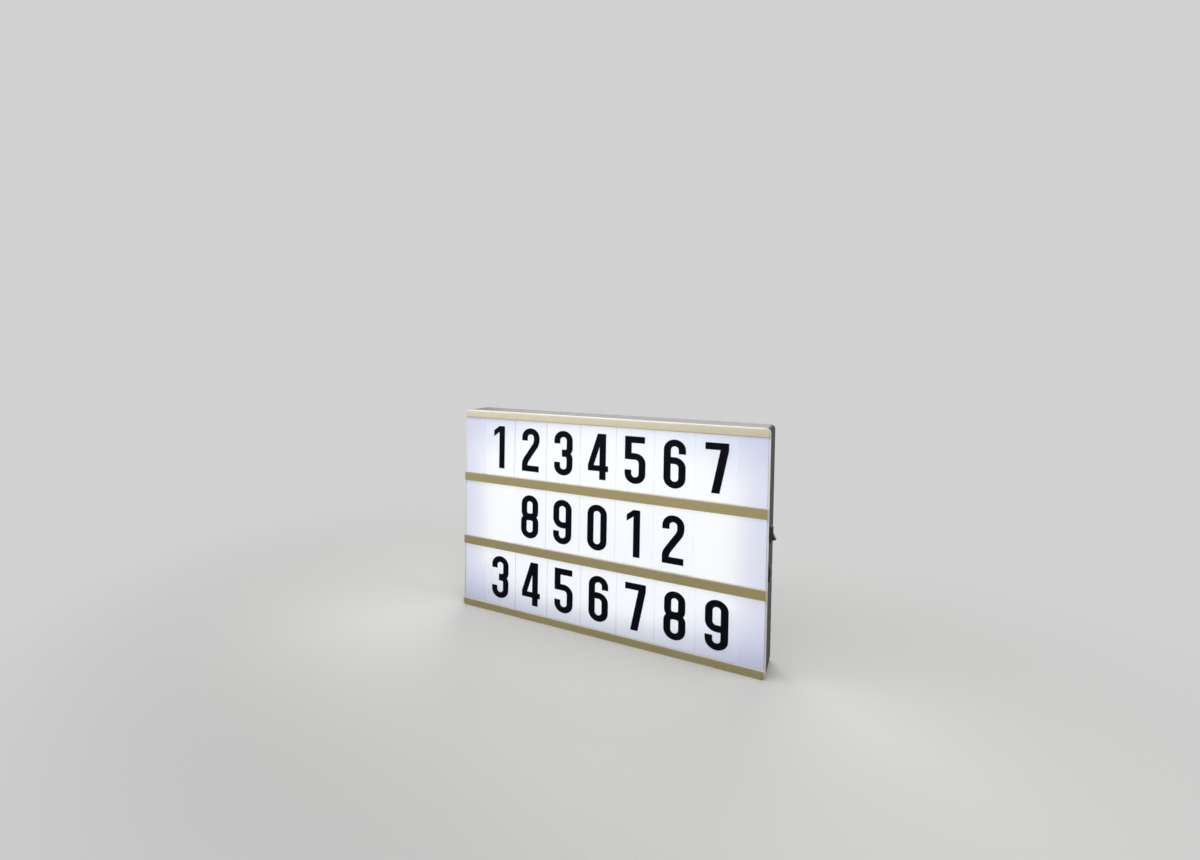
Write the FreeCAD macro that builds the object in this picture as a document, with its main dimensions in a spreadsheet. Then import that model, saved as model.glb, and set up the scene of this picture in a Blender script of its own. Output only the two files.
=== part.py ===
"""Cinema light box: a shallow lit box with three grooved rails that hold clear letter tiles.

Frame: the origin is the middle of the base on the table. +Z is up, -Y is the lit front and
+X is the side with the switch and the power inlet. All sizes are in millimetres.
A depth is counted from the front of the rails backwards.
"""
import FreeCAD, Part

import math
import os
from types import SimpleNamespace

import Sketcher
from FreeCAD import Placement, Rotation, Vector

os.makedirs("parts", exist_ok=True)
doc = FreeCAD.newDocument("LightBox")

# ---------------------------------------------------------------- driving sizes

SIZES = {
    # the whole box
    "box_width": 300, "box_height": 220, "box_depth": 50, "box_corner": 4,
    # front frame: rails with a lip over the tile grooves, and a skirt round the panel
    "outer_rail": 8, "middle_rail": 10, "lip_thick": 2.0, "lip_edge": 1.0, "lip_corner": 1.6,
    "groove_gap": 1.2, "groove_reach": 2.6, "skirt_depth": 7, "skirt_wall": 1.3,
    # light panel
    "panel_thick": 2.0, "panel_play": 0.3,
    # rear housing
    "wall": 2.2, "back_edge": 3.0, "tongue_wall": 2.0, "tongue_end": 14, "tongue_play": 0.2,
    "rib_wall": 1.2, "rib_height": 3.2, "rib_inner": 75, "rib_outer": 120,
    # housing screws, driven from the back into bosses on the front frame
    "screw_inset": 4.7, "boss_radius": 2.8, "boss_end": 12, "boss_play": 0.5, "pilot_floor": 4.4,
    "screw_tube": 4.6, "screw_seat": 20, "head_hole": 3.2, "screw_radius": 1.45,
    "screw_play": 0.25, "thread_play": 0.05, "screw_length": 14, "head_radius": 2.8,
    "head_height": 2.2,
    # letter tiles
    "tile_width": 35.4, "tile_pitch": 36, "tile_thick": 0.5, "tile_play": 0.25,
    "tile_corner": 1.5, "third_row_shift": 2.5,
    # hanging keyholes
    "keyhole_spacing": 200, "keyhole_height": 185, "keyhole_entry": 4.0, "keyhole_slot": 2.0,
    "keyhole_drop": 9, "keyhole_rim": 4, "keyhole_rim_thick": 1.6,
    # light boards
    "board_margin": 22.5, "board_height": 10, "board_thick": 1.2, "board_standoff": 4,
    "lower_board": 100, "upper_board": 160, "standoff_radius": 3.0, "standoff_inset": 12.5,
    "board_screw": 1.1, "board_screw_length": 4, "board_head": 2.2, "board_head_height": 1.5,
    "led_size": 5, "led_thick": 1.6, "led_window": 2.0, "led_window_floor": 1.7,
    "led_recess": 0.3, "led_bevel": 0.24, "led_inset": 23.5,
    "resistor_length": 3.2, "resistor_width": 1.6, "resistor_thick": 0.6, "resistor_gap": 2.5,
    # battery bay for six AA cells standing side by side
    "cell_pitch": 15, "cell_length": 50.5, "cell_radius": 7.25, "bay_side_play": 0.5,
    "contact_room": 8, "bay_bottom": 14, "bay_wall": 1.6, "cell_play": 0.35,
    "ledge": 2.7, "collar_floor": 2.3, "divider_wall": 1.0, "divider_height": 2.5,
    # battery cover on two moulded pivots
    "cover_thick": 2.2, "cover_play": 0.3, "cover_seat_play": 0.2, "cover_corner": 2.5,
    "hinge_barrel": 2.0, "hinge_pin": 1.2, "hinge_reach": 2.4, "hinge_play": 0.05,
    "cover_rib_height": 0.9, "cover_rib_wall": 1.2, "latch_width": 12, "latch_reach": 1.5,
    "latch_arm": 14, "latch_slit": 1.0, "grip_pitch": 3, "grip_wall": 1.0, "grip_height": 0.5,
    "grip_margin": 1.5,
    # battery contacts
    "plate_thick": 0.4, "plate_height": 12, "plate_side_gap": 1.5, "button_radius": 3.0,
    "button_tip": 2.1, "button_height": 1.2, "spring_foot": 4.2, "spring_tip": 2.6,
    "spring_length": 6.5, "spring_wire": 0.4, "spring_turns": 4,
    "tab_width": 3.0, "tab_reach": 5.0, "tab_play": 0.3,
    # rocker switch
    "switch_depth": 14.8, "switch_height": 126, "bezel_width": 10.8, "bezel_height": 15,
    "bezel_thick": 1.8, "bezel_corner": 1.0, "bezel_edge": 0.6, "switch_width": 9.4,
    "switch_length": 13.4, "switch_inside": 13, "cutout_play": 0.1, "well_width": 7.6, "well_length": 12,
    "well_depth": 5.8, "pivot_depth": 1.3, "rocker_width": 7.0, "rocker_tilt": 13,
    "rocker_half": 5.3, "rocker_waist": 5.5, "rocker_valley": 2.2, "rocker_foot": 4.2,
    "rocker_under": 2.2, "pivot_radius": 1.0, "pivot_reach": 4.2, "pivot_play": 0.05,
    "terminal_spacing": 7, "terminal_width": 4.8, "terminal_thick": 0.8, "terminal_length": 6,
    # power inlet
    "inlet_height": 91, "inlet_flange_width": 11, "inlet_flange_height": 14,
    "inlet_flange_thick": 1.6, "inlet_width": 9.4, "inlet_length": 12, "inlet_inside": 12,
    "inlet_bore": 3.15, "inlet_bore_depth": 9.6, "inlet_pin": 1.0, "inlet_pin_length": 8.4,
    "inlet_pin_bevel": 0.4, "inlet_tab_spacing": 6, "inlet_tab_width": 2.4, "inlet_tab_length": 4,
    # insulated wires
    "wire_radius": 0.7, "wire_loop": 9, "wire_bend": 6, "pad_spacing": 2.9, "pad_rise": 3,
    "battery_lead": 33,
}

sheet = doc.addObject("Spreadsheet::Sheet", "sheet")
for row, (alias, number) in enumerate(SIZES.items(), start=1):
    sheet.set(f"A{row}", alias.replace("_", " "))
    sheet.set(f"B{row}", str(number))
    sheet.setAlias(f"B{row}", alias)
doc.recompute()


class Size:
    """A length that knows its number and the sheet expression that gives it."""

    def __init__(self, value, text):
        self.value = float(value)
        self.text = text

    def __add__(self, other):
        other = as_size(other)
        return Size(self.value + other.value, f"({self.text} + {other.text})")

    def __sub__(self, other):
        other = as_size(other)
        return Size(self.value - other.value, f"({self.text} - {other.text})")

    def __mul__(self, factor):
        return Size(self.value * factor, f"({self.text} * {factor!r})")

    def __truediv__(self, divisor):
        return Size(self.value / divisor, f"({self.text} / {divisor!r})")

    def __neg__(self):
        return Size(-self.value, f"(0 - {self.text})")

    def __float__(self):
        return self.value


def as_size(number):
    """A plain number or a Size, as a Size."""
    return number if isinstance(number, Size) else Size(number, repr(float(number)))


mm = SimpleNamespace(**{alias: Size(sheet.get(alias), f"sheet.{alias}") for alias in SIZES})

ROWS = 3
TILES_IN_ROW = (7, 5, 7)
LEDS_ON_BOARD = 5
CELLS = 6
GRIP_LINES = 3
COVER_RIB_SHARES = (0.3, 0.7)
OVERCUT = 1  # how far a cut or a join runs past the face it meets
ROW_SHIFT = (as_size(0), as_size(0), mm.third_row_shift)

# ---------------------------------------------------------------- places worked out from them

half_width = mm.box_width / 2
half_depth = mm.box_depth / 2
panel_front = mm.lip_thick + mm.groove_gap
panel_back = panel_front + mm.panel_thick
inner_back = mm.box_depth - mm.wall
window_height = (mm.box_height - mm.outer_rail * 2 - mm.middle_rail * (ROWS - 1)) / ROWS


def window_bottom(row):
    """Height of a window's lower edge; row 0 is the top one."""
    below = ROWS - 1 - row
    return mm.outer_rail + (window_height + mm.middle_rail) * below


board_length = mm.box_width - mm.board_margin * 2
standoff_spacing = board_length - mm.standoff_inset * 2
led_pitch = (board_length - mm.led_inset * 2) / (LEDS_ON_BOARD - 1)
SCREW_PLACES = [
    (x, z)
    for z in (mm.screw_inset, mm.box_height - mm.screw_inset)
    for x in (mm.screw_inset - half_width, as_size(0), half_width - mm.screw_inset)
]


def depth_to_y(depth):
    """Y of a depth counted from the front of the rails."""
    return depth - half_depth


# ---------------------------------------------------------------- sketch helpers

def bind(item, path, size):
    item.setExpression(path, as_size(size).text)


def new_body(name):
    body = doc.addObject("PartDesign::Body", name)
    body.Label = name
    return body


def new_sketch(body, name, plane, offset):
    """An empty sketch on one of the body's own origin planes, moved along the plane's normal."""
    sketch = body.newObject("Sketcher::SketchObject", name)
    support = next(item for item in body.Origin.OriginFeatures if item.Role == plane)
    sketch.AttachmentSupport = [(support, "")]
    sketch.MapMode = "FlatFace"
    bind(sketch, "AttachmentOffset.Base.z", offset)
    return sketch


def front_sketch(body, name, depth):
    """A sketch seen from the front: x is X, y is Z. Pads from it come forward, pockets go back."""
    return new_sketch(body, name, "XZ_Plane", half_depth - depth)


def side_sketch(body, name, x):
    """A sketch seen from the +X side: x is Y, y is Z. Pads go to +X, pockets to -X."""
    return new_sketch(body, name, "YZ_Plane", x)


def fix_point(sketch, item, point, x, y):
    """Holds one point of a sketch at a place given by two sizes."""
    for kind, size in (("DistanceX", as_size(x)), ("DistanceY", as_size(y))):
        rule = Sketcher.Constraint(kind, -1, 1, item, point, size.value)
        bind(sketch, f"Constraints[{sketch.addConstraint(rule)}]", size)


def fix_radius(sketch, item, radius):
    rule = Sketcher.Constraint("Radius", item, as_size(radius).value)
    bind(sketch, f"Constraints[{sketch.addConstraint(rule)}]", radius)


def flat(x, y):
    return Vector(float(x), float(y), 0)


def add_polygon(sketch, points):
    """A closed outline of straight edges."""
    count = len(points)
    lines = [
        sketch.addGeometry(Part.LineSegment(flat(*points[i]), flat(*points[(i + 1) % count])))
        for i in range(count)
    ]
    for i, line in enumerate(lines):
        sketch.addConstraint(Sketcher.Constraint("Coincident", line, 2, lines[(i + 1) % count], 1))
        fix_point(sketch, line, 1, *points[i])


def add_rectangle(sketch, left, right, low, high):
    add_polygon(sketch, [(left, low), (right, low), (right, high), (left, high)])


def add_circle(sketch, x, y, radius):
    circle = Part.Circle(flat(x, y), Vector(0, 0, 1), float(radius))
    item = sketch.addGeometry(circle)
    fix_point(sketch, item, 3, x, y)
    fix_radius(sketch, item, radius)


def add_quarter_arc(sketch, x, y, radius, start):
    """A quarter circle about a fixed centre; start is counted in quarter turns from the right."""
    sweep = Part.Circle(flat(x, y), Vector(0, 0, 1), float(radius))
    quarter = math.pi / 2
    item = sketch.addGeometry(Part.ArcOfCircle(sweep, quarter * start, quarter * (start + 1)))
    fix_point(sketch, item, 3, x, y)
    fix_radius(sketch, item, radius)
    kinds = ("Vertical", "Horizontal") if start % 2 else ("Horizontal", "Vertical")
    for point, kind in zip((1, 2), kinds):
        sketch.addConstraint(Sketcher.Constraint(kind, item, point, item, 3))
    return item


def join_line(sketch, first, edge, second):
    """Adds a straight edge from the end of one arc to the start of the next."""
    line = sketch.addGeometry(edge)
    sketch.addConstraint(Sketcher.Constraint("Coincident", first, 2, line, 1))
    sketch.addConstraint(Sketcher.Constraint("Coincident", line, 2, second, 1))


def add_round_rectangle(sketch, left, right, low, high, radius):
    centres = [
        (left + radius, low + radius), (right - radius, low + radius),
        (right - radius, high - radius), (left + radius, high - radius),
    ]
    arcs = [
        add_quarter_arc(sketch, x, y, radius, start)
        for start, (x, y) in enumerate(centres, start=2)
    ]
    shapes = sketch.Geometry
    for i, arc in enumerate(arcs):
        following = arcs[(i + 1) % len(arcs)]
        edge = Part.LineSegment(shapes[arc].EndPoint, shapes[following].StartPoint)
        join_line(sketch, arc, edge, following)


def pad(sketch, length, midplane=False):
    body = sketch.getParentGeoFeatureGroup()
    feature = body.newObject("PartDesign::Pad", sketch.Label + "_pad")
    feature.Profile = sketch
    bind(feature, "Length", length)
    if midplane:
        feature.SideType = "Symmetric"
    return feature


def pocket(sketch, length, midplane=False):
    body = sketch.getParentGeoFeatureGroup()
    feature = body.newObject("PartDesign::Pocket", sketch.Label + "_pocket")
    feature.Profile = sketch
    bind(feature, "Length", length)
    if midplane:
        feature.SideType = "Symmetric"
    return feature


def front_pad(body, name, front, back):
    """A pad between two depths. Gives the sketch; its outline is drawn afterwards."""
    sketch = front_sketch(body, name, back)
    pad(sketch, as_size(back) - front)
    return sketch


def front_pocket(body, name, front, back):
    """A pocket between two depths. Gives the sketch; its outline is drawn afterwards."""
    sketch = front_sketch(body, name, front)
    pocket(sketch, as_size(back) - front)
    return sketch


def round_edges(body, name, radius, wanted):
    """Rounds those edges of the body for which wanted(edge) is true."""
    doc.recompute()
    base = body.Tip
    names = [f"Edge{i}" for i, edge in enumerate(base.Shape.Edges, start=1) if wanted(edge)]
    feature = body.newObject("PartDesign::Fillet", name)
    feature.Base = (base, names)
    bind(feature, "Radius", radius)
    return feature


def lies_at(edge, axis, place):
    """True if the whole edge has one coordinate at a place."""
    low, high = (getattr(edge.BoundBox, axis + end) for end in ("Min", "Max"))
    return abs(low - float(place)) < 1e-3 and abs(high - float(place)) < 1e-3


# ---------------------------------------------------------------- groups of loose solids

def group(name, solids):
    """One sub-part made of separate like solids, such as a set of screws."""
    item = doc.addObject("Part::Feature", name)
    item.Label = name
    item.Shape = Part.makeCompound(solids)
    return item


def block(x, y, z):
    """A box from (low, high) pairs of sizes along X, Y and Z."""
    low = Vector(*(float(pair[0]) for pair in (x, y, z)))
    high = Vector(*(float(pair[1]) for pair in (x, y, z)))
    return Part.makeBox(*(high - low), low)


def around(centre, width):
    """The (low, high) pair of a width about a centre."""
    centre = as_size(centre)
    return centre - as_size(width) / 2, centre + as_size(width) / 2


def depths(front, back):
    return depth_to_y(as_size(front)), depth_to_y(as_size(back))


def pan_screw(length, radius, head_radius, head_height):
    """A screw along +Y with the underside of its pan head at the origin and its tip at -Y."""
    length, radius, head, high = (float(s) for s in (length, radius, head_radius, head_height))
    tip = radius * 0.8
    slot = radius * 0.4
    points = [
        Vector(0, -length, 0), Vector(radius * 0.3, -length, 0), Vector(radius, -length + tip, 0),
        Vector(radius, 0, 0), Vector(head, 0, 0), Vector(head, high * 0.45, 0),
    ]
    crown = Part.Arc(points[-1], Vector(head * 0.72, high * 0.86, 0), Vector(head * 0.25, high, 0))
    top = Vector(0, high, 0)
    edges = Part.makePolygon(points).Edges
    edges += [crown.toShape(), Part.makeLine(crown.EndPoint, top), Part.makeLine(top, points[0])]
    turned = Part.Face(Part.Wire(edges)).revolve(Vector(), Vector(0, 1, 0), 360)
    for turn in (0, 90):
        arm = Part.makeBox(head * 1.2, high, slot, Vector(-head * 0.6, high * 0.5, -slot / 2))
        arm.rotate(Vector(), Vector(0, 1, 0), turn)
        turned = turned.cut(arm)
    return turned


def moved(shape, x, y, z):
    copy = shape.copy()
    copy.translate(Vector(float(x), float(y), float(z)))
    return copy


# ---------------------------------------------------------------- front frame

def make_front_frame():
    body = new_body("front_frame")
    outline = front_pad(body, "frame_outline", 0, mm.skirt_depth)
    add_round_rectangle(outline, -half_width, half_width, as_size(0), mm.box_height, mm.box_corner)
    recess = front_pocket(body, "panel_recess", panel_front, mm.skirt_depth)
    add_round_rectangle(
        recess, mm.skirt_wall - half_width, half_width - mm.skirt_wall,
        mm.skirt_wall, mm.box_height - mm.skirt_wall, mm.box_corner - mm.skirt_wall,
    )
    windows = front_pocket(body, "windows", 0, panel_front)
    grooves = side_sketch(body, "tile_grooves", half_width)
    pocket(grooves, mm.box_width)
    for row in range(ROWS):
        low = window_bottom(row)
        high = low + window_height
        add_rectangle(windows, -half_width - OVERCUT, half_width + OVERCUT, low, high)
        add_rectangle(
            grooves, depth_to_y(mm.lip_thick), depth_to_y(panel_front),
            low - mm.groove_reach, high + mm.groove_reach,
        )
    bosses = front_pad(body, "screw_bosses", panel_front, mm.boss_end)
    pilots = front_pocket(body, "screw_pilots", mm.pilot_floor, mm.boss_end)
    for x, z in SCREW_PLACES:
        add_circle(bosses, x, z, mm.boss_radius)
        add_circle(pilots, x, z, mm.screw_radius + mm.thread_play)

    def lip_end(edge):
        box = edge.BoundBox
        at_end = abs(abs(box.Center.x) - half_width.value) < 1e-3 and box.XLength < 1e-3
        is_lip = abs(box.YLength - mm.lip_thick.value) < 1e-3 and box.ZLength < 1e-3
        return at_end and is_lip and box.YMin < depth_to_y(as_size(0)).value + 1e-3

    round_edges(body, "lip_ends", mm.lip_corner, lip_end)
    front = depth_to_y(as_size(0))
    round_edges(body, "lip_rims", mm.lip_edge, lambda edge: lies_at(edge, "Y", front))
    return body


# ---------------------------------------------------------------- light panel

def make_diffuser_panel():
    body = new_body("diffuser_panel")
    inset = mm.skirt_wall + mm.panel_play
    outline = front_pad(body, "panel_outline", panel_front, panel_back)
    add_rectangle(outline, inset - half_width, half_width - inset, inset, mm.box_height - inset)
    notches = front_pocket(body, "boss_notches", panel_front, panel_back)
    room = mm.boss_radius + mm.boss_play
    for x, z in SCREW_PLACES:
        sides = (-half_width if x.value < 0 else x - room, half_width if x.value > 0 else x + room)
        low = as_size(0) if z.value < room.value * 2 else z - room
        high = z + room if z.value < room.value * 2 else mm.box_height
        add_rectangle(notches, *sides, low, high)
    return body


# ---------------------------------------------------------------- rear housing

bay_half_width = mm.cell_pitch * CELLS / 2 + mm.bay_side_play
bay_top = mm.bay_bottom + mm.cell_length + mm.contact_room
ledge_depth = mm.box_depth - mm.cover_thick - mm.cover_seat_play
bay_floor = ledge_depth - mm.cover_rib_height - mm.cell_play - mm.cell_radius * 2
recess_half_width = bay_half_width + mm.ledge
recess_bottom = mm.bay_bottom - mm.ledge
recess_top = bay_top + mm.ledge
cover_bottom = recess_bottom + mm.cover_play
cover_top = recess_top - mm.cover_play
hinge_height = cover_bottom + mm.hinge_barrel
hinge_depth = mm.box_depth - mm.hinge_barrel
barrel_room = mm.hinge_barrel + mm.cover_play
trough_depth = hinge_depth - barrel_room
collar_front = trough_depth - mm.collar_floor
tab_depth = bay_floor + mm.plate_height * 0.5


def cell_x(cell):
    """Middle of a cell's place; cell 0 is at the -X end."""
    return mm.cell_pitch * (cell - (CELLS - 1) / 2)


def make_rear_housing():
    body = new_body("rear_housing")
    shell = front_pad(body, "housing_outline", mm.skirt_depth, mm.box_depth)
    add_round_rectangle(shell, -half_width, half_width, as_size(0), mm.box_height, mm.box_corner)
    back = depth_to_y(mm.box_depth)
    round_edges(body, "back_edges", mm.back_edge, lambda edge: lies_at(edge, "Y", back))
    cavity = front_pocket(body, "cavity", mm.skirt_depth, inner_back)
    add_round_rectangle(
        cavity, mm.wall - half_width, half_width - mm.wall,
        mm.wall, mm.box_height - mm.wall, mm.box_corner - mm.wall,
    )
    add_housing_tongue(body)
    add_stiffening_ribs(body)
    add_board_standoffs(body)
    add_keyholes(body)
    add_battery_bay(body)
    add_screw_tubes(body)
    add_side_cutouts(body)
    return body


def add_housing_tongue(body):
    """The rim that slides inside the frame's skirt and presses the panel on the rails."""
    tongue = front_pad(body, "tongue", panel_back, mm.tongue_end)
    inset = mm.skirt_wall + mm.tongue_play
    add_round_rectangle(
        tongue, inset - half_width, half_width - inset, inset, mm.box_height - inset,
        mm.box_corner - mm.skirt_wall,
    )
    inset = inset + mm.tongue_wall
    add_rectangle(tongue, inset - half_width, half_width - inset, inset, mm.box_height - inset)


def add_stiffening_ribs(body):
    ribs = front_pad(body, "back_ribs", inner_back - mm.rib_height, inner_back)
    for place in (mm.rib_inner, mm.rib_outer):
        add_rectangle(ribs, *around(place, mm.rib_wall), mm.wall, mm.box_height - mm.wall)
        add_rectangle(ribs, *around(-place, mm.rib_wall), mm.wall, mm.box_height - mm.wall)


def add_board_standoffs(body):
    posts = front_pad(body, "board_posts", inner_back - mm.board_standoff, inner_back)
    holes = front_pocket(
        body, "post_holes", inner_back - mm.board_standoff, inner_back
    )
    for side in (-1, 1):
        for height in (mm.lower_board, mm.upper_board):
            x = standoff_spacing * (side / 2)
            add_circle(posts, x, height, mm.standoff_radius)
            add_circle(holes, x, height, mm.board_screw + mm.thread_play)


def add_keyholes(body):
    """Two keyholes, with a thicker rim on the inside where the wall carries the screws."""
    rims = front_pad(body, "keyhole_rims", inner_back - mm.keyhole_rim_thick, inner_back)
    entries = front_pocket(body, "keyhole_entries", inner_back - mm.keyhole_rim_thick, mm.box_depth)
    slots = front_pocket(body, "keyhole_slots", inner_back - mm.keyhole_rim_thick, mm.box_depth)
    top = mm.keyhole_height + mm.keyhole_drop
    for side in (-1, 1):
        x = mm.keyhole_spacing * (side / 2)
        reach = mm.keyhole_entry + mm.keyhole_rim
        add_round_rectangle(
            rims, x - reach, x + reach, mm.keyhole_height - reach, top + reach, mm.keyhole_rim
        )
        add_circle(entries, x, mm.keyhole_height, mm.keyhole_entry)
        add_slot(slots, x, mm.keyhole_height, top, mm.keyhole_slot)


def add_slot(sketch, x, low, high, radius):
    """An upright slot with round ends; low and high are the centres of the ends."""
    arcs = []
    for y, start in ((low, math.pi), (high, 0)):
        sweep = Part.Circle(flat(x, y), Vector(0, 0, 1), float(radius))
        arc = sketch.addGeometry(Part.ArcOfCircle(sweep, start, start + math.pi))
        fix_point(sketch, arc, 3, x, y)
        fix_radius(sketch, arc, radius)
        for point in (1, 2):
            sketch.addConstraint(Sketcher.Constraint("Horizontal", arc, point, arc, 3))
        arcs.append(arc)
    shapes = sketch.Geometry
    for first, second in (arcs, arcs[::-1]):
        edge = Part.LineSegment(shapes[first].EndPoint, shapes[second].StartPoint)
        join_line(sketch, first, edge, second)


def add_battery_bay(body):
    """A sunken tray in the back wall, with a ledge for the cover and holes for its pivots."""
    walls = mm.bay_wall
    collar = front_pad(body, "bay_collar", collar_front, inner_back)
    add_rectangle(
        collar, -recess_half_width - mm.hinge_reach - walls,
        recess_half_width + mm.hinge_reach + walls, recess_bottom - walls, recess_top + walls,
    )
    tray = front_pad(body, "bay_tray", bay_floor - walls, collar_front)
    add_rectangle(
        tray, -bay_half_width - walls, bay_half_width + walls, mm.bay_bottom - walls, bay_top + walls
    )
    recess = front_pocket(body, "cover_recess", ledge_depth, mm.box_depth)
    add_round_rectangle(
        recess, -recess_half_width, recess_half_width, recess_bottom, recess_top,
        mm.cover_corner + mm.cover_play,
    )
    bay = front_pocket(body, "bay_room", bay_floor, ledge_depth)
    add_rectangle(bay, -bay_half_width, bay_half_width, mm.bay_bottom, bay_top)
    trough = front_pocket(body, "barrel_trough", trough_depth, mm.box_depth)
    add_rectangle(
        trough, -recess_half_width, recess_half_width, recess_bottom, hinge_height + barrel_room
    )
    notch = front_pocket(body, "latch_notch", ledge_depth, mm.box_depth)
    latch_half = mm.latch_width / 2 + mm.cover_play
    add_rectangle(
        notch, -latch_half, latch_half, recess_top - mm.cover_corner,
        cover_top + mm.latch_reach + mm.cover_play,
    )
    pivots = side_sketch(body, "cover_pivots", recess_half_width + mm.hinge_reach)
    pocket(pivots, (recess_half_width + mm.hinge_reach) * 2)
    add_circle(pivots, depth_to_y(hinge_depth), hinge_height, mm.hinge_pin + mm.hinge_play)
    slits = front_pocket(
        body, "tab_slits", tab_depth - mm.tab_width / 2 - mm.tab_play,
        tab_depth + mm.tab_width / 2 + mm.tab_play,
    )
    for cell in (0, CELLS - 1):
        add_rectangle(
            slits, *around(cell_x(cell), mm.plate_thick + mm.tab_play * 2), bay_top, bay_top + walls
        )
    dividers = front_pad(body, "cell_dividers", bay_floor, bay_floor + mm.divider_height)
    for cell in range(1, CELLS):
        middle = cell_x(cell) - mm.cell_pitch / 2
        add_rectangle(
            dividers, *around(middle, mm.divider_wall),
            mm.bay_bottom + mm.contact_room, bay_top - mm.contact_room,
        )


def add_screw_tubes(body):
    tubes = front_pad(body, "screw_tubes", mm.boss_end, inner_back)
    clearance = front_pocket(body, "boss_clearance", panel_back, mm.boss_end)
    shanks = front_pocket(body, "shank_holes", mm.boss_end, mm.screw_seat)
    heads = front_pocket(body, "head_holes", mm.screw_seat, mm.box_depth)
    for x, z in SCREW_PLACES:
        add_circle(tubes, x, z, mm.screw_tube)
        add_circle(clearance, x, z, mm.boss_radius + mm.boss_play)
        add_circle(shanks, x, z, mm.screw_radius + mm.screw_play)
        add_circle(heads, x, z, mm.head_hole)


def add_side_cutouts(body):
    """Openings in the +X wall for the switch and the power inlet."""
    cutouts = side_sketch(body, "side_cutouts", half_width)
    pocket(cutouts, mm.wall + mm.tongue_wall + OVERCUT)
    middle = depth_to_y(mm.switch_depth)
    play = mm.cutout_play * 2
    add_rectangle(
        cutouts, *around(middle, mm.switch_width + play),
        *around(mm.switch_height, mm.switch_length + play),
    )
    add_rectangle(
        cutouts, *around(middle, mm.inlet_width + play),
        *around(mm.inlet_height, mm.inlet_length + play),
    )


# ---------------------------------------------------------------- battery cover and contacts

def make_battery_cover():
    body = new_body("battery_cover")
    half = recess_half_width - mm.cover_play
    inside = mm.box_depth - mm.cover_thick
    plate = front_pad(body, "cover_plate", inside, mm.box_depth)
    add_rectangle(plate, -half, half, hinge_height, cover_top)
    round_edges(body, "cover_corners", mm.cover_corner, lambda edge: (
        lies_at(edge, "Z", cover_top) and edge.BoundBox.XLength < 1e-3
    ))
    barrel = side_sketch(body, "hinge_barrel", 0)
    pad(barrel, half * 2, midplane=True)
    add_circle(barrel, depth_to_y(hinge_depth), hinge_height, mm.hinge_barrel)
    pins = side_sketch(body, "hinge_pins", 0)
    pad(pins, (half + mm.hinge_reach) * 2, midplane=True)
    add_circle(pins, depth_to_y(hinge_depth), hinge_height, mm.hinge_pin)
    ribs = front_pad(body, "cover_ribs", inside - mm.cover_rib_height, inside)
    rib_half = bay_half_width - mm.cover_corner
    for share in COVER_RIB_SHARES:
        height = mm.bay_bottom + (mm.cell_length + mm.contact_room) * share
        add_rectangle(ribs, -rib_half, rib_half, *around(height, mm.cover_rib_wall))
    nose = front_pad(body, "latch_nose", inside, mm.box_depth)
    latch = mm.latch_width / 2
    add_rectangle(nose, -latch, latch, cover_top - OVERCUT, cover_top + mm.latch_reach)
    slits = front_pocket(body, "latch_slits", inside, mm.box_depth)
    for side in (-1, 1):
        middle = (latch + mm.latch_slit / 2) * side
        add_rectangle(slits, *around(middle, mm.latch_slit), cover_top - mm.latch_arm, cover_top)
    grips = front_pocket(body, "thumb_grips", mm.box_depth - mm.grip_height, mm.box_depth)
    for line in range(GRIP_LINES):
        height = cover_top - mm.grip_pitch * (line + 1)
        grip = latch - mm.grip_margin
        add_rectangle(grips, -grip, grip, *around(height, mm.grip_wall))
    return body


def contact_plate(cells, at_top, springs):
    """A sheet-metal contact at one end of the bay, with a button for each cell that has no spring."""
    thick = mm.plate_thick
    side = mm.cell_pitch / 2 - mm.plate_side_gap
    wall = bay_top if at_top else mm.bay_bottom
    inward = -1 if at_top else 1
    z = sorted((wall, wall + thick * inward), key=float)
    y = depths(bay_floor + mm.cell_play, bay_floor + mm.cell_play + mm.plate_height)
    plate = block((cell_x(cells[0]) - side, cell_x(cells[-1]) + side), y, z)
    for cell in cells:
        if cell not in springs:
            foot = Vector(
                cell_x(cell).value, cell_middle_y().value, (wall + thick * inward).value
            )
            button = Part.makeCone(
                mm.button_radius.value, mm.button_tip.value,
                mm.button_height.value, foot, Vector(0, 0, inward),
            )
            plate = plate.fuse(button)
        if at_top and len(cells) == 1:
            tab = block(
                around(cell_x(cell), thick), depths(*around(tab_depth, mm.tab_width)),
                (bay_top - thick, bay_top + mm.tab_reach),
            )
            plate = plate.fuse(tab)
    return plate.removeSplitter()


def cell_middle_y():
    return depth_to_y(bay_floor + mm.cell_play + mm.plate_height / 2)


def coil_spring(cell, at_top):
    """A tapered coil: a ruled loft of six-sided sections along a conical helix."""
    steps_in_turn = 10
    steps = int(mm.spring_turns.value * steps_in_turn)
    inward = -1 if at_top else 1
    wall = bay_top if at_top else mm.bay_bottom
    start = wall + (mm.plate_thick + mm.spring_wire) * inward
    rise = (mm.spring_length - mm.spring_wire * 2).value / steps
    sections = []
    for step in range(steps + 1):
        share = step / steps
        turn = 2 * math.pi * step / steps_in_turn
        radius = mm.spring_foot.value + (mm.spring_tip - mm.spring_foot).value * share
        out = Vector(math.cos(turn), math.sin(turn), 0)
        middle = out * (radius - mm.spring_wire.value) + Vector(0, 0, inward * rise * step)
        ring = [
            middle + (out * math.cos(a) + Vector(0, 0, math.sin(a))) * mm.spring_wire.value
            for a in (math.pi / 3 * corner for corner in range(6))
        ]
        sections.append(Part.makePolygon(ring + ring[:1]))
    coil = Part.makeLoft(sections, True, True)
    return moved(coil, cell_x(cell), cell_middle_y(), start)


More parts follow.
